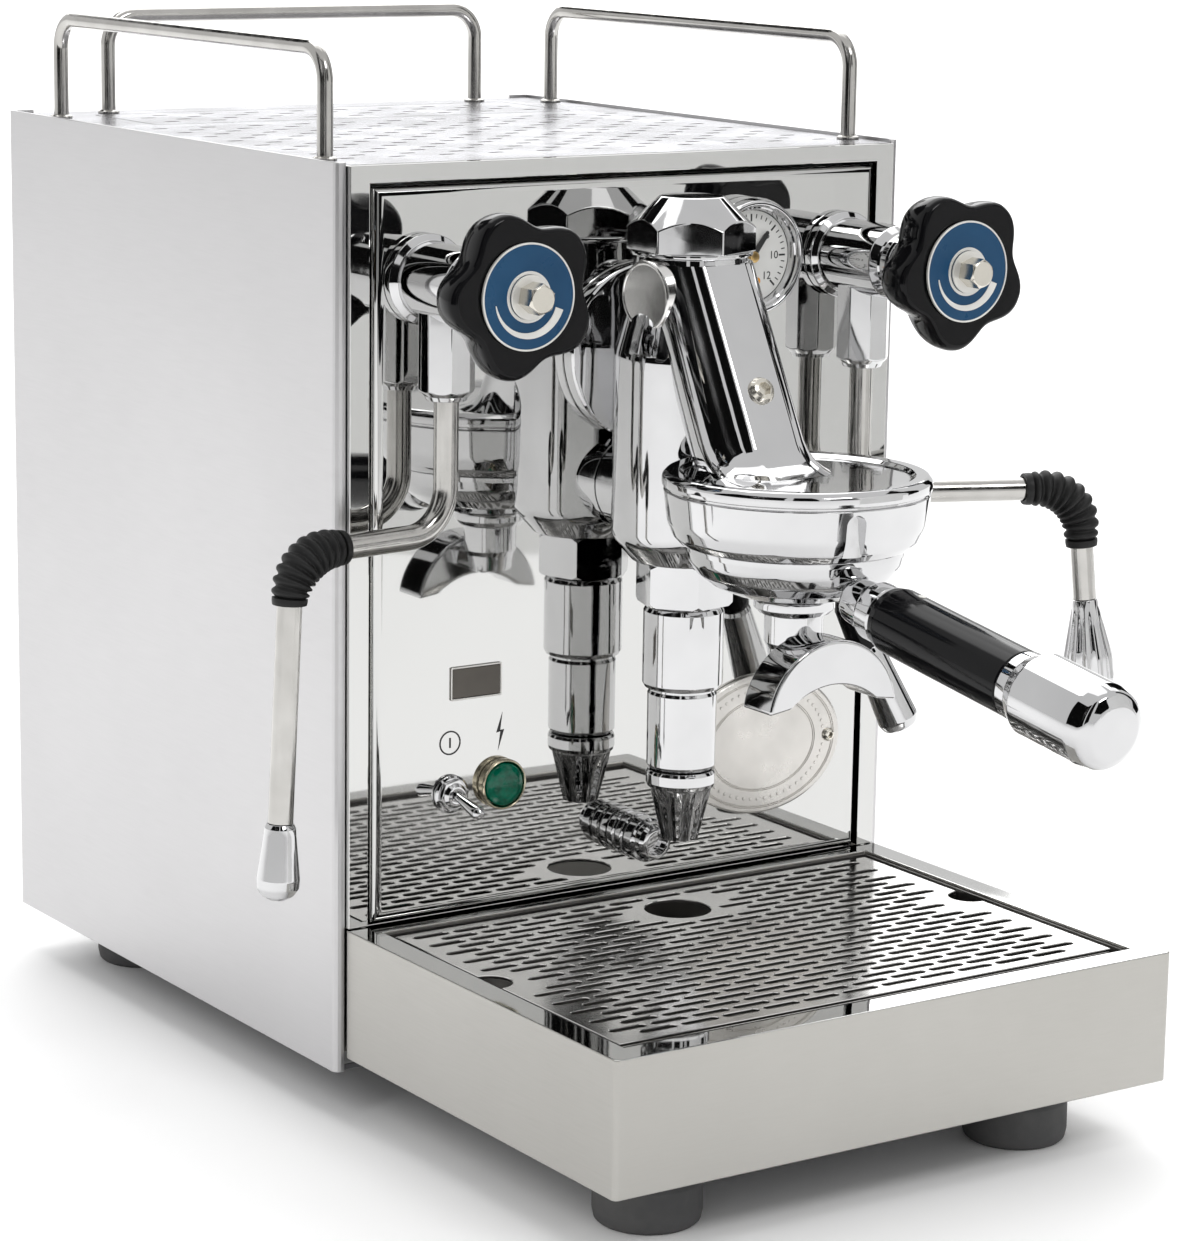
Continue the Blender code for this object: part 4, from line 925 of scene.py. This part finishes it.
    nut = prism(polygon((COLUMN.x, COLUMN.y), 0.0318, 6, 12.0), 0.19, 0.2057)
    tight = mm((0, 188), (16.5, 189), (19, 192), (19, 203.5), (16.5, 206.5), (0, 207))
    nut = combined(nut, lathe(tight, COLUMN, sides=128, soft=0), "INTERSECT")
    plated("chamber_nut", nut, ["lower_chamber"], bevel=0.0003)
    barrel = mm(
        (0, 127.5), (11.8, 127.5, 0.6), (12.9, 129, 0.8), (13, 156, 0.6), (12.4, 157.2, 0.1),
        (12.4, 158, 0.1), (14.2, 158.4, 0.8), (15, 160, 1), (15, 187.2, 0.8), (14.2, 188.8, 0.6),
        (13.4, 189.6, 0.2), (13.4, 190.5), (0, 190.5))
    plated("chamber_barrel", lathe(barrel, COLUMN, sides=128))

    def flutes(angle, height):
        depth = 0.1 * min(max((0.1205 - height) / 0.004, 0.0), 1.0)
        return 1.0 - depth * (0.5 + 0.5 * math.cos(12 * angle)) ** 0.5

    cone = mm(
        (0, 108), (4.8, 107), (5.8, 100, 0.4), (6.8, 100, 0.4), (7.8, 104), (8.8, 108), (9.8, 112),
        (10.8, 116), (11.7, 120), (12.6, 120.8), (13, 122.2, 0.6), (13, 125.8, 0.6), (12.4, 127.1),
        (0, 127.2))
    plated("drain_cone", lathe(cone, COLUMN, sides=192, wave=flutes), ["drain_nozzle"], angle=50)

    fitting = mm(
        (0, 3.3), (8.6, 3.3, 0.6), (8.8, 7, 0.6), (7.8, 7.6, 0.2), (7.8, 8.6, 0.2), (8.8, 9.2, 0.6),
        (8.8, 12.6, 0.6), (7.8, 13.2, 0.2), (7.8, 14.2, 0.2), (8.6, 14.8, 0.6), (8.6, 19.6, 0.8),
        (7.4, 20.6, 0.6), (7.2, 23.2, 0.8), (6.2, 25, 0.8), (4.4, 25.5, 0.6), (4, 22, 0.2), (0, 21.8))
    shape = lathe(fitting, (0, 0, DRAIN_Z), TOWARDS_USER, 96, 0.0003)
    plated("drain_union", shape, ["drain_fitting"])
    for step, spot in enumerate((0.0079, 0.0135)):
        ring = [(0.007, spot), (0.0082, spot), (0.0082, spot + 0.0005), (0.007, spot + 0.0005)]
        put(
            "drain_seal_%d" % step, lathe(ring, (0, 0, DRAIN_Z), TOWARDS_USER, 64, 0.0001), "sleeve",
            "body", "rubber")


def brew_lever():
    start = Vector((COLUMN.x + COLUMN_RADIUS + GAP, LEVER_PIVOT.y, LEVER_PIVOT.z))
    seat = mm((0, -2), (15, -2), (15, 15, 0.8), (13.2, 16.5, 0.8), (0, 16.5))
    housing = lathe(seat, start, (1, 0, 0), 8, 0)
    plated("lever_boss", housing, ["cam_housing"], bevel=0.0008, segments=3)
    hub_start = start + Vector((0.0168, 0, 0))
    hub = mm((0, 0), (8, 0), (9, 2), (9, 9, 1.5), (7, 11, 1), (0, 11))
    line = LEVER_END - LEVER_PIVOT
    direction, length = line.normalized(), line.length
    rod = [(0, 0), (0.0038, 0), (0.0038, length * LEVER_BARE), (0, length * LEVER_BARE)]
    shaft = joined(lathe(hub, hub_start, (1, 0, 0), 72), lathe(rod, LEVER_PIVOT, direction, 48))
    put("lever_arm", shaft, "chrome", "brew_lever", "polished", ["lever_shaft"])
    begin = length * LEVER_BARE + GAP
    grip = mm((0, 0), (4.5, 0, 0.5), (5.6, 3, 1), (6.4, 18, 1), (6.2, 20), (0, 20))
    put(
        "lever_sleeve", lathe(grip, LEVER_PIVOT + direction * begin, direction, 64), "black",
        "brew_lever", "black", ["lever_grip"])
    begin += 0.0203
    tip = length - begin
    cap = [
        (0, 0), (0.0055, 0, 0.0005), (0.0062, 0.002, 0.001), (0.0079, tip - 0.0035, 0.003),
        (0.0066, tip, 0.002), (0, tip)]
    put(
        "lever_tip", lathe(cap, LEVER_PIVOT + direction * begin, direction, 64), "chrome", "brew_lever",
        "polished", ["lever_cap"])


# Portafilter


def portafilter():
    rim, lip = 0.237, BELL_BOTTOM - GAP
    bowl = mm(
        (3, 198.5), (12.5, 198.5), (14.5, 200.5), (14.5, 204, 2), (23, 206, 4), (30, 209, 6),
        (35.2, 213, 6), (38, 217.2, 6), (38.9, 221, 2))
    bowl += [
        (0.0391, lip), (0.0375, lip), (0.0375, rim), (0.035, rim), (0.035, 0.214), (0.029, 0.21),
        (0.003, 0.2085)]
    arm_start = HANDLE_START - HANDLE_AXIS * 0.0229
    arm = mm(
        (0, 0), (4, 0), (8, 3, 2), (8.5, 8, 2), (8.5, 13.2, 0.4), (10.1, 14.2, 0.6), (10.5, 15.2, 0.6),
        (10.5, 21.5, 0.6), (9.8, 22.6), (0, 22.6))
    body = joined(lathe(bowl, BELL, sides=160, soft=0.0005), lathe(arm, arm_start, HANDLE_AXIS, 96))
    put("filter_holder", body, "chrome", "portafilter", "polished", ["portafilter_body"], angle=38)
    cup = [
        (0.0, 0.2125), (0.03, 0.2125, 0.002), (0.0325, 0.215, 0.002), (0.0335, rim + 0.0003),
        (0.0372, rim + 0.0003), (0.0372, rim + 0.0015), (0.0325, rim + 0.0015, 0.001), (0.0315, 0.216),
        (0.029, 0.2137), (0.0, 0.2137)]
    put(
        "coffee_basket", lathe(cup, BELL, sides=96), "inner", "filter_basket", "brushed",
        ["filter_basket"])

    outer = arc((GROUP_X, 0.1645), 0.028, 8, 172, 48)
    inner = arc((GROUP_X, 0.1475), 0.029, 130, 50, 32)
    crescent = prism(outer + inner, -0.129, -0.112, "Y")
    boss = mm((0, 179), (8.5, 180), (9.5, 186, 1), (10.5, 188, 1), (10.5, 198.2), (0, 198.2))
    low, high = (GROUP_X - 0.008, -0.125, 0.179), (GROUP_X + 0.008, BELL.y + 0.006, 0.1888)
    put(
        "twin_spout", crescent, "chrome", "portafilter", "polished", ["portafilter_spout"],
        bevel=0.0012, segments=4)
    put("spout_bridge", box(low, high), "chrome", "portafilter", "polished", bevel=0.0025, segments=5)
    put("spout_boss", lathe(boss, BELL, sides=72), "chrome", "portafilter", "polished")

    length = 0.0705
    grip = [
        (0, 0), (0.0101, 0, 0.0004), (0.0112, 0.0006, 0.001), (0.0119, 0.004, 0.004),
        (0.0119, length - 0.0012, 0.0006), (0.0116, length - 0.0003, 0.0003), (0, length - 0.0003)]
    put(
        "handle_grip", lathe(grip, HANDLE_START, HANDLE_AXIS, 128), "black", "portafilter", "black",
        ["portafilter_grip"])
    cap_start = HANDLE_START + HANDLE_AXIS * length
    size, tip = 0.0147, 0.047
    cap = [
        (0, 0), (0.0121, 0, 0.0004), (0.0124, 0.0048, 0.001), (0.0128, 0.0056, 0.0008),
        (size, 0.0098, 0.0025), (size, tip - 0.0085, 0.006), (size - 0.0014, tip - 0.0028, 0.004),
        (size - 0.005, tip - 0.0006, 0.003), (size - 0.008, tip - 0.0002, 0.002), (0, tip - 0.0002)]
    put(
        "handle_cap", lathe(cap, cap_start, HANDLE_AXIS, 128), "chrome", "portafilter", "polished",
        ["portafilter_end_cap"])
    out = (Vector((0.1, 0, 1)) - HANDLE_AXIS * HANDLE_AXIS.z).normalized()
    pin = mm((0, 0), (1.4, 0), (1.4, 0.6), (0, 0.6))
    spot = HANDLE_START + HANDLE_AXIS * 0.013 + out * 0.01165
    put("handle_pin", lathe(pin, spot, out, 24, 0.0002), "silver", "portafilter", "polished")


# Tray


def tray():
    outer, inner = rect_loop((-0.1215, -0.178), (0.1215, -0.0008), 0.0022, 8), (0.111, -0.167, -0.01)
    shell = prism(outer(0.0), 0.025, 0.0738)
    shell = combined(shell, box((-0.12, -0.1765, 0.0265), (0.12, -0.0023, 0.0723)))
    shell = combined(shell, box((-inner[0], inner[1], 0.06), (inner[0], inner[2], 0.08)))

    def on_top(face):
        return face.normal.z > 0.9 and face.calc_center_median().z > 0.073

    put(
        "drawer", shell, "tray", "drip_tray", "brushed", ["drip_tray"], bevel=0.0005, segments=3,
        second=("mirror", on_top))
    # The liner under the grille is painted shade: dark steel where only shade falls
    keep("tray_liner", "shade", 0.0002)

    half, front, back, top = 0.108, -0.16, -0.014, 0.0725
    notch_y, notch = -0.079, 0.008

    def outline(grow):
        reach = notch - grow
        end = math.degrees(math.acos(-grow / reach))
        made = [(-half - grow, back + grow)] + arc((-half, notch_y), reach, end, -end, 20)
        made += [(-half - grow, front - grow), (half + grow, front - grow)]
        made += arc((half, notch_y), reach, 180 + end, 180 - end, 20)
        return made + [(half + grow, back + grow)]

    slots = []
    drain = Vector((GROUP_X, COLUMN.y))
    for x, y in staggered(24, 12, -0.096, -0.0195, 0.0172, -0.0058):
        near = Vector((min(max(drain.x, x - 0.0076), x + 0.0076), y))
        beside = abs(abs(x) + 0.0076 - half) < 0.0095 and abs(y - notch_y) < 0.011
        if (near - drain).length > PLAIN_RADIUS and not beside:
            slots.append(slot_loop(x, y, *GRILLE_SLOT))
    hole = circle_loop(drain.x, drain.y, DRAIN_RADIUS, 64)
    sheet = pierced(outline, slots + [hole], top - 0.0012, top, 0.00025)
    rect = rect_loop((-half, front), (half, back), 0.0008)
    skirt = pierced(
        rect, [rect_loop((-half + 0.0012, front + 0.0012), (half - 0.0012, back - 0.0012), 0.0006)],
        0.0604, top - 0.0012, 0.0001)
    for side in (-1, 1):
        bite = lathe(
            [(0, 0.055), (notch, 0.055), (notch, 0.08), (0, 0.08)], (side * half, notch_y, 0), sides=64,
            soft=0)
        skirt = combined(skirt, bite)

    # Underside and inner skirt faces get painted shade
    def below(face):
        spot = face.calc_center_median()
        inside = abs(spot.x) < half - 0.0005 and front + 0.0005 < spot.y < back - 0.0005
        return face.normal.z < -0.9 or (face.normal.z < 0.3 and inside)

    plate = joined(sheet, skirt)
    put(
        "slotted_plate", plate, "grille", "drip_grille", "polished", ["drip_grille"],
        second=("shade", below))


# Valves, knobs and wands

STEAM = {
    "name": "steam",
    "x": -0.091,
    "back": -0.053,
    "turn": math.radians(40.0),
    "heading": math.radians(188.0),
    "reach": 0.069,
    "level": 0.2215,
    "lean": math.radians(3.0),
    "leg": 0.095,
    "sleeve": 0.0175,
}
WATER = {
    "name": "water",
    "x": 0.095,
    "back": -0.061,
    "turn": math.radians(47.0),
    "heading": math.radians(-21.8),
    "reach": 0.089,
    "level": 0.2205,
    "lean": math.radians(5.7),
    "leg": 0.044,
    "sleeve": 0.023,
}


def knob(kind):
    name, x, back = kind["name"], kind["x"], kind["back"]
    body, face, z = name + "_knob", back - 0.0185, VALVE_Z + 0.001
    levels = [
        (0.0, 0.8), (0.0006, 0.84), (0.002, 0.885), (0.0045, 0.935), (0.0075, 0.972), (0.0105, 0.993)]
    levels += [
        (0.013, 1.0), (0.015, 1.0), (0.0163, 0.993), (0.0173, 0.979), (0.018, 0.958), (0.0184, 0.935),
        (0.0185, 0.91)]
    levels += [(0.0185, 0.7), (0.0181, 0.665)]
    count, rings = 200, []
    for depth, scale in levels:
        ring = []
        for i in range(count):
            angle = math.tau * i / count
            wave = LOBE_DEPTH * (0.5 - 0.5 * math.cos(KNOB_LOBES * angle)) ** 1.2
            reach = (KNOB_RADIUS - wave) * scale
            if depth > 0.0182 and scale < 0.8:
                reach = KNOB_RADIUS * scale
            place = angle + kind["turn"]
            across, up = reach * math.cos(place), reach * math.sin(place)
            ring.append(Vector((x + across, back - depth, z + up)))
        rings.append(ring)
    reach = -VALVE_END - GAP - back + 0.002
    stem = lathe([(0, 0), (0.007, 0), (0.007, reach), (0, reach)], (x, back - 0.002, z), (0, 1, 0), 48)
    put(
        name + "_handwheel", joined(loft(rings), stem), "black", body, "black", [name + "_knob"],
        angle=45)
    centre = (x, face, z)
    plate = mm((0, 0.3), (18.1, 0.3), (18.1, 1.1), (0, 1.1))
    put(
        name + "_enamel", lathe(plate, centre, TOWARDS_USER, 96, 0.0001), "blue", body, "blue",
        [name + "_knob_disc"])
    rim = mm((18, 0.3), (18.7, 0.3), (18.7, 1.3), (18, 1.4))
    inner = mm((7.8, 0.9), (9, 0.9), (8.9, 1.35), (7.8, 1.35))
    rings = [
        lathe(rim, centre, TOWARDS_USER, 96, 0.0002), lathe(inner, centre, TOWARDS_USER, 72, 0.0001)]
    count = 60
    outside, inside = [], []
    for i in range(count + 1):
        share = i / count
        angle = math.radians(190 + 150 * share)
        half = 0.00018 + 0.00145 * share**0.8
        middle = 0.0136 - 0.0004 * share
        for holder, radius in ((outside, middle + half), (inside, middle - half)):
            holder.append((x + radius * math.cos(angle), z + radius * math.sin(angle)))
    crescent = prism(outside + inside[::-1], face - 0.00135, face - 0.001, "Y")
    put(name + "_disc_marks", joined(*rings, crescent), "silver", body, "blue")
    nut_back = face - 0.0017
    hexagon = prism(polygon((x, z), 0.0096, 6, 20.0), nut_back - 0.0085, nut_back - 0.0004, "Y")
    round_off = mm((0, -1), (6.2, -1), (6.2, 7), (4.4, 8.5), (0, 8.5))
    hexagon = combined(hexagon, lathe(round_off, (x, nut_back, z), TOWARDS_USER, 64, 0), "INTERSECT")
    put(
        name + "_nut", hexagon, "nickel", body, "polished", [name + "_knob_nut"], bevel=0.0003,
        segments=3)
    washer = mm((0, 0), (7.8, 0), (7.8, 0.8), (0, 0.8))
    put(
        name + "_washer", lathe(washer, (x, nut_back, z), TOWARDS_USER, 64, 0.0003), "silver", body,
        "polished")


def valve(kind):
    name, x = kind["name"], kind["x"]
    barrel = mm(
        (0, 3.3), (16.5, 3.3), (16.5, 7, 0.8), (14, 8.8, 1), (14, 39.5, 1.5), (12.2, 42.5, 1),
        (11.5, 43.2, 0.4), (11.5, 46, 0.3), (10.6, 46.6, 0), (10.6, 47.8, 0), (11.5, 48.4, 0.3),
        (11.5, 52), (0, 52))
    plated(name + "_barrel", lathe(barrel, (x, 0, VALVE_Z), TOWARDS_USER, 112), [name + "_valve"])
    nut = prism(polygon((x, OUTLET_Y), 0.019, 8, 22.5), OUTLET_BOTTOM + 0.0006, 0.304)
    cone = [
        (0, OUTLET_BOTTOM - 0.002), (0.0062, OUTLET_BOTTOM), (0.011, 0.274), (0.011, 0.306), (0, 0.306)]
    nut = combined(nut, lathe(cone, (x, OUTLET_Y, 0), sides=96, soft=0), "INTERSECT")
    plated(name + "_outlet_nut", nut, bevel=0.0004, segments=3)
    collar = [
        (0, OUTLET_BOTTOM), (0.0072, OUTLET_BOTTOM), (0.008, 0.2712, 0.0005), (0.008, 0.273), (0, 0.273)
    ]
    plated(name + "_outlet_ring", lathe(collar, (x, OUTLET_Y, 0), sides=64))


def wand(kind):
    """A tube that runs down, out along its heading and down again, with a ribbed sleeve and a tip."""
    name, x = kind["name"], kind["x"]
    body = name + "_wand"
    outwards = Vector((math.cos(kind["heading"]), math.sin(kind["heading"]), 0))
    down = -UP * math.cos(kind["lean"]) + outwards * math.sin(kind["lean"])
    top = Vector((x, OUTLET_Y, OUTLET_BOTTOM - GAP))
    elbow = Vector((x, OUTLET_Y, kind["level"]))
    shoulder = elbow + outwards * kind["reach"]
    end = shoulder + down * kind["leg"]
    path = rounded_path([top, elbow, shoulder, end], WAND_BEND, 16)
    put(
        name + "_tube", swept(path, [0.0045] * len(path), 36), "tube", body, "polished",
        [name + "_wand"])

    corners = [shoulder - outwards * 0.0225, shoulder, shoulder + down * kind["sleeve"]]
    count = 150
    line = even_path(rounded_path(corners, WAND_BEND, 40), count)
    radii = []
    for i in range(count + 1):
        share = i / count
        crest = 0.0061 + 0.0018 * math.sin(math.pi * share)
        if share < 0.07 or share > 0.93:
            radii.append(min(crest, 0.0063))
            continue
        phase = (share - 0.07) / 0.86 * 9
        radii.append(crest - 0.0014 * (0.5 + 0.5 * math.cos(math.tau * phase)) ** 1.5)
    put(
        name + "_sleeve", swept(line, radii, 40, 0.0048), "sleeve", body, "rubber",
        [name + "_wand_grip"], angle=70)

    tip_start = end + down * GAP
    if name == "steam":
        tip = mm(
            (0, 0), (4.8, 0, 0.3), (5.6, 1.5, 0.8), (5.8, 4, 2), (7.7, 20, 4), (7.5, 23.2, 2),
            (5.8, 25.8, 2), (3, 27.4, 1), (0, 27.4))
        put(
            "steam_nozzle", lathe(tip, tip_start, down, 96), "chrome", body, "polished",
            ["steam_wand_tip"])
        # The jet holes are black discs: painted shade standing in for the dark inside of each hole
        holes = []
        for i in range(4):
            angle = math.tau * i / 4 + 0.6
            side = down.orthogonal().normalized()
            around = side * math.cos(angle) + down.cross(side) * math.sin(angle)
            spoke = (around + down * 1.1).normalized()
            spot = tip_start + down * 0.021 + spoke * 0.0056
            holes.append(lathe(mm((0, 0), (0.7, 0), (0.7, 1.4), (0, 1.4)), spot, spoke, 16, 0.0001))
        put("steam_jets", joined(*holes), "ink_and_hole_shade", body, "black")
        return

    def fins(angle, height):
        share = min(max((height - 0.004) / 0.004, 0.0), 1.0)
        share *= min(max((0.034 - height) / 0.001, 0.0), 1.0)
        return 1.0 - 0.085 * share * (0.5 + 0.5 * math.cos(14 * angle)) ** 0.6

    tip = mm((0, 0), (4.9, 0, 0.3), (5.3, 3, 1))
    tip += [(0.0053 + 0.0044 * i / 5, 0.003 + 0.02 * i / 5, 0) for i in range(1, 6)]
    tip += mm((10.1, 32, 1), (9.3, 34.4, 1), (8, 34.4), (7.6, 30), (0, 29.6))
    put(
        "water_nozzle", lathe(tip, tip_start, down, 196, wave=fins), "chrome", body, "polished",
        ["water_wand_tip"], angle=50)


# Back and underside


def back_details():
    plate = mm((61, 42), (95, 42), (95, 72), (61, 72))
    inlet = prism(plate, 0.2636, 0.265, "Y")
    inlet = combined(inlet, box((0.0665, 0.24, 0.0475), (0.0895, 0.27, 0.0665)))
    put("inlet_flange", inlet, "moulded", "body", "black", ["power_inlet"], bevel=0.0004)
    well = box((0.0645, 0.242, 0.0455), (0.0915, 0.2634, 0.0685))
    well = combined(well, box((0.0665, 0.243, 0.0475), (0.0895, 0.27, 0.0665)))
    put("inlet_well", well, "moulded", "body", "black")
    pins = []
    for dx, dz in ((-0.007, -0.0015), (0.007, -0.0015), (0.0, 0.003)):
        low = (0.078 + dx - 0.001, 0.243, 0.057 + dz - 0.0025)
        pins.append(box(low, (low[0] + 0.002, 0.26, low[2] + 0.005)))
    put("inlet_pins", joined(*pins), "brass", "body", "brass", bevel=0.0003)
    for i, x in enumerate((-0.106, 0.0, 0.106)):
        for j, z in enumerate((0.033, 0.186, 0.338)):
            screw_head("back_screw_%d%d" % (i, j), (x, 0.2633, z), (0, 1, 0), 0.003, depth=0.0014)


# Stage


def matte(name, colour, roughness, gloss):
    """A plain material for the floor and the cards."""
    made = bpy.data.materials.new(name)
    made.use_nodes = True
    shader = made.node_tree.nodes["Principled BSDF"]
    shader.inputs["Base Color"].default_value = (*colour, 1.0)
    shader.inputs["Roughness"].default_value = roughness
    shader.inputs["Specular IOR Level"].default_value = gloss
    return made


def studio():
    floor_mesh = bmesh.new()
    bmesh.ops.create_grid(floor_mesh, x_segments=2, y_segments=2, size=20.0)
    floor = link("floor", floor_mesh)
    floor.data.materials.append(matte("floor_pale", (0.96, 0.96, 0.96), 0.8, 0.1))

    scene = bpy.context.scene
    scene.view_settings.view_transform = "Standard"
    world = bpy.data.worlds.new("studio")
    scene.world = world
    world.use_nodes = True
    world.node_tree.nodes["Background"].inputs["Color"].default_value = (1.0, 1.0, 1.0, 1.0)
    world.node_tree.nodes["Background"].inputs["Strength"].default_value = 0.8

    def softbox(name, at, target, size, power):
        light = bpy.data.lights.new(name, "AREA")
        light.shape, light.size, light.size_y, light.energy = "RECTANGLE", size[0], size[1], power
        holder = bpy.data.objects.new(name, light)
        scene.collection.objects.link(holder)
        holder.location = Vector(at)
        holder.rotation_mode = "QUATERNION"
        holder.rotation_quaternion = (Vector(target) - Vector(at)).to_track_quat("-Z", "Y")

    softbox("key", (0.25, -2.1, 2.4), (0, -0.05, 0.2), (1.0, 0.7), 17)
    softbox("top", (0.3, 0.9, 2.8), (0, 0.1, 0.3), (2.2, 1.6), 10)
    softbox("strip", (-1.7, -0.7, 1.5), (0, 0, 0.2), (0.25, 1.1), 8)
    softbox("backdrop", (1.6, 3.4, 3.2), (1.6, 3.4, 0), (5.0, 5.0), 120)
    softbox("backdrop_far", (7.0, 11.0, 6.0), (7.0, 11.0, 0), (14.0, 10.0), 900)

    black = matte("card_black", (0.004, 0.004, 0.004), 1.0, 0.0)
    grey = matte("card_grey", (0.66, 0.66, 0.655), 1.0, 0.0)

    def card(name, azimuths, distance, low, high, finish):
        """An upright card that only shiny surfaces see. Azimuth 0 is in front, 90 to the right."""
        sheet = bmesh.new()
        pairs = []
        for azimuth in azimuths:
            a = math.radians(azimuth)
            x, y = math.sin(a) * distance, -math.cos(a) * distance
            pairs.append((sheet.verts.new((x, y, low)), sheet.verts.new((x, y, high))))
        for (a, b), (c, d) in zip(pairs, pairs[1:]):
            sheet.faces.new((a, c, d, b))
        piece = link(name, sheet)
        piece.data.materials.append(finish)
        piece.visible_camera = piece.visible_shadow = piece.visible_diffuse = False

    cards = (
        (-27, 9.5, 0.95, 0.21, 1.7),
        (-73, 30.0, 0.95, 0.2, 1.5),
        (6, 15.0, 1.35, 0.46, 1.35),
        (70, 8.0, 0.95, 0.12, 1.2),
        (110, 5.0, 1.0, 0.0, 1.2),
        (-167, 16.0, 1.1, 0.8, 1.5),
    )
    for i, (azimuth, half, distance, low, high) in enumerate(cards):
        card("card_%d" % i, (azimuth - half, azimuth, azimuth + half), distance, low, high, black)
    card("card_sweep", range(14, 57, 3), 1.05, 0.0, 0.9, grey)


CAMERA_PLACE = Vector((-0.7976, -1.1659, 0.4708))
CAMERA_TURN = math.radians(33.809), math.radians(11.762), math.radians(0.862)
FOCAL_LENGTH = 110.93


def camera():
    """Looks at the machine from its front left, slightly from above."""
    yaw, pitch, roll = CAMERA_TURN
    forward = Vector((
        math.sin(yaw) * math.cos(pitch), math.cos(yaw) * math.cos(pitch), -math.sin(pitch)))
    right = forward.cross(UP).normalized()
    upward = right.cross(forward)
    turned_right = right * math.cos(roll) + upward * math.sin(roll)
    turned_up = upward * math.cos(roll) - right * math.sin(roll)
    data = bpy.data.cameras.new("camera")
    data.sensor_width, data.lens = 36.0, FOCAL_LENGTH
    data.shift_x, data.shift_y = 0.00177, -0.00073
    data.clip_start, data.clip_end = 0.05, 60.0
    holder = bpy.data.objects.new("camera", data)
    bpy.context.scene.collection.objects.link(holder)
    holder.rotation_mode = "QUATERNION"
    turn = Matrix((turned_right, turned_up, -forward)).transposed()
    holder.rotation_quaternion = turn.to_quaternion()
    holder.location = CAMERA_PLACE + SHIFT
    bpy.context.scene.camera = holder


camera()
studio()
body_shell()
front_panel()
icons()
gauge()
panel_fittings()
group()
brew_lever()
portafilter()
tray()
for needle_valve in (STEAM, WATER):
    valve(needle_valve)
    knob(needle_valve)
    wand(needle_valve)
back_details()
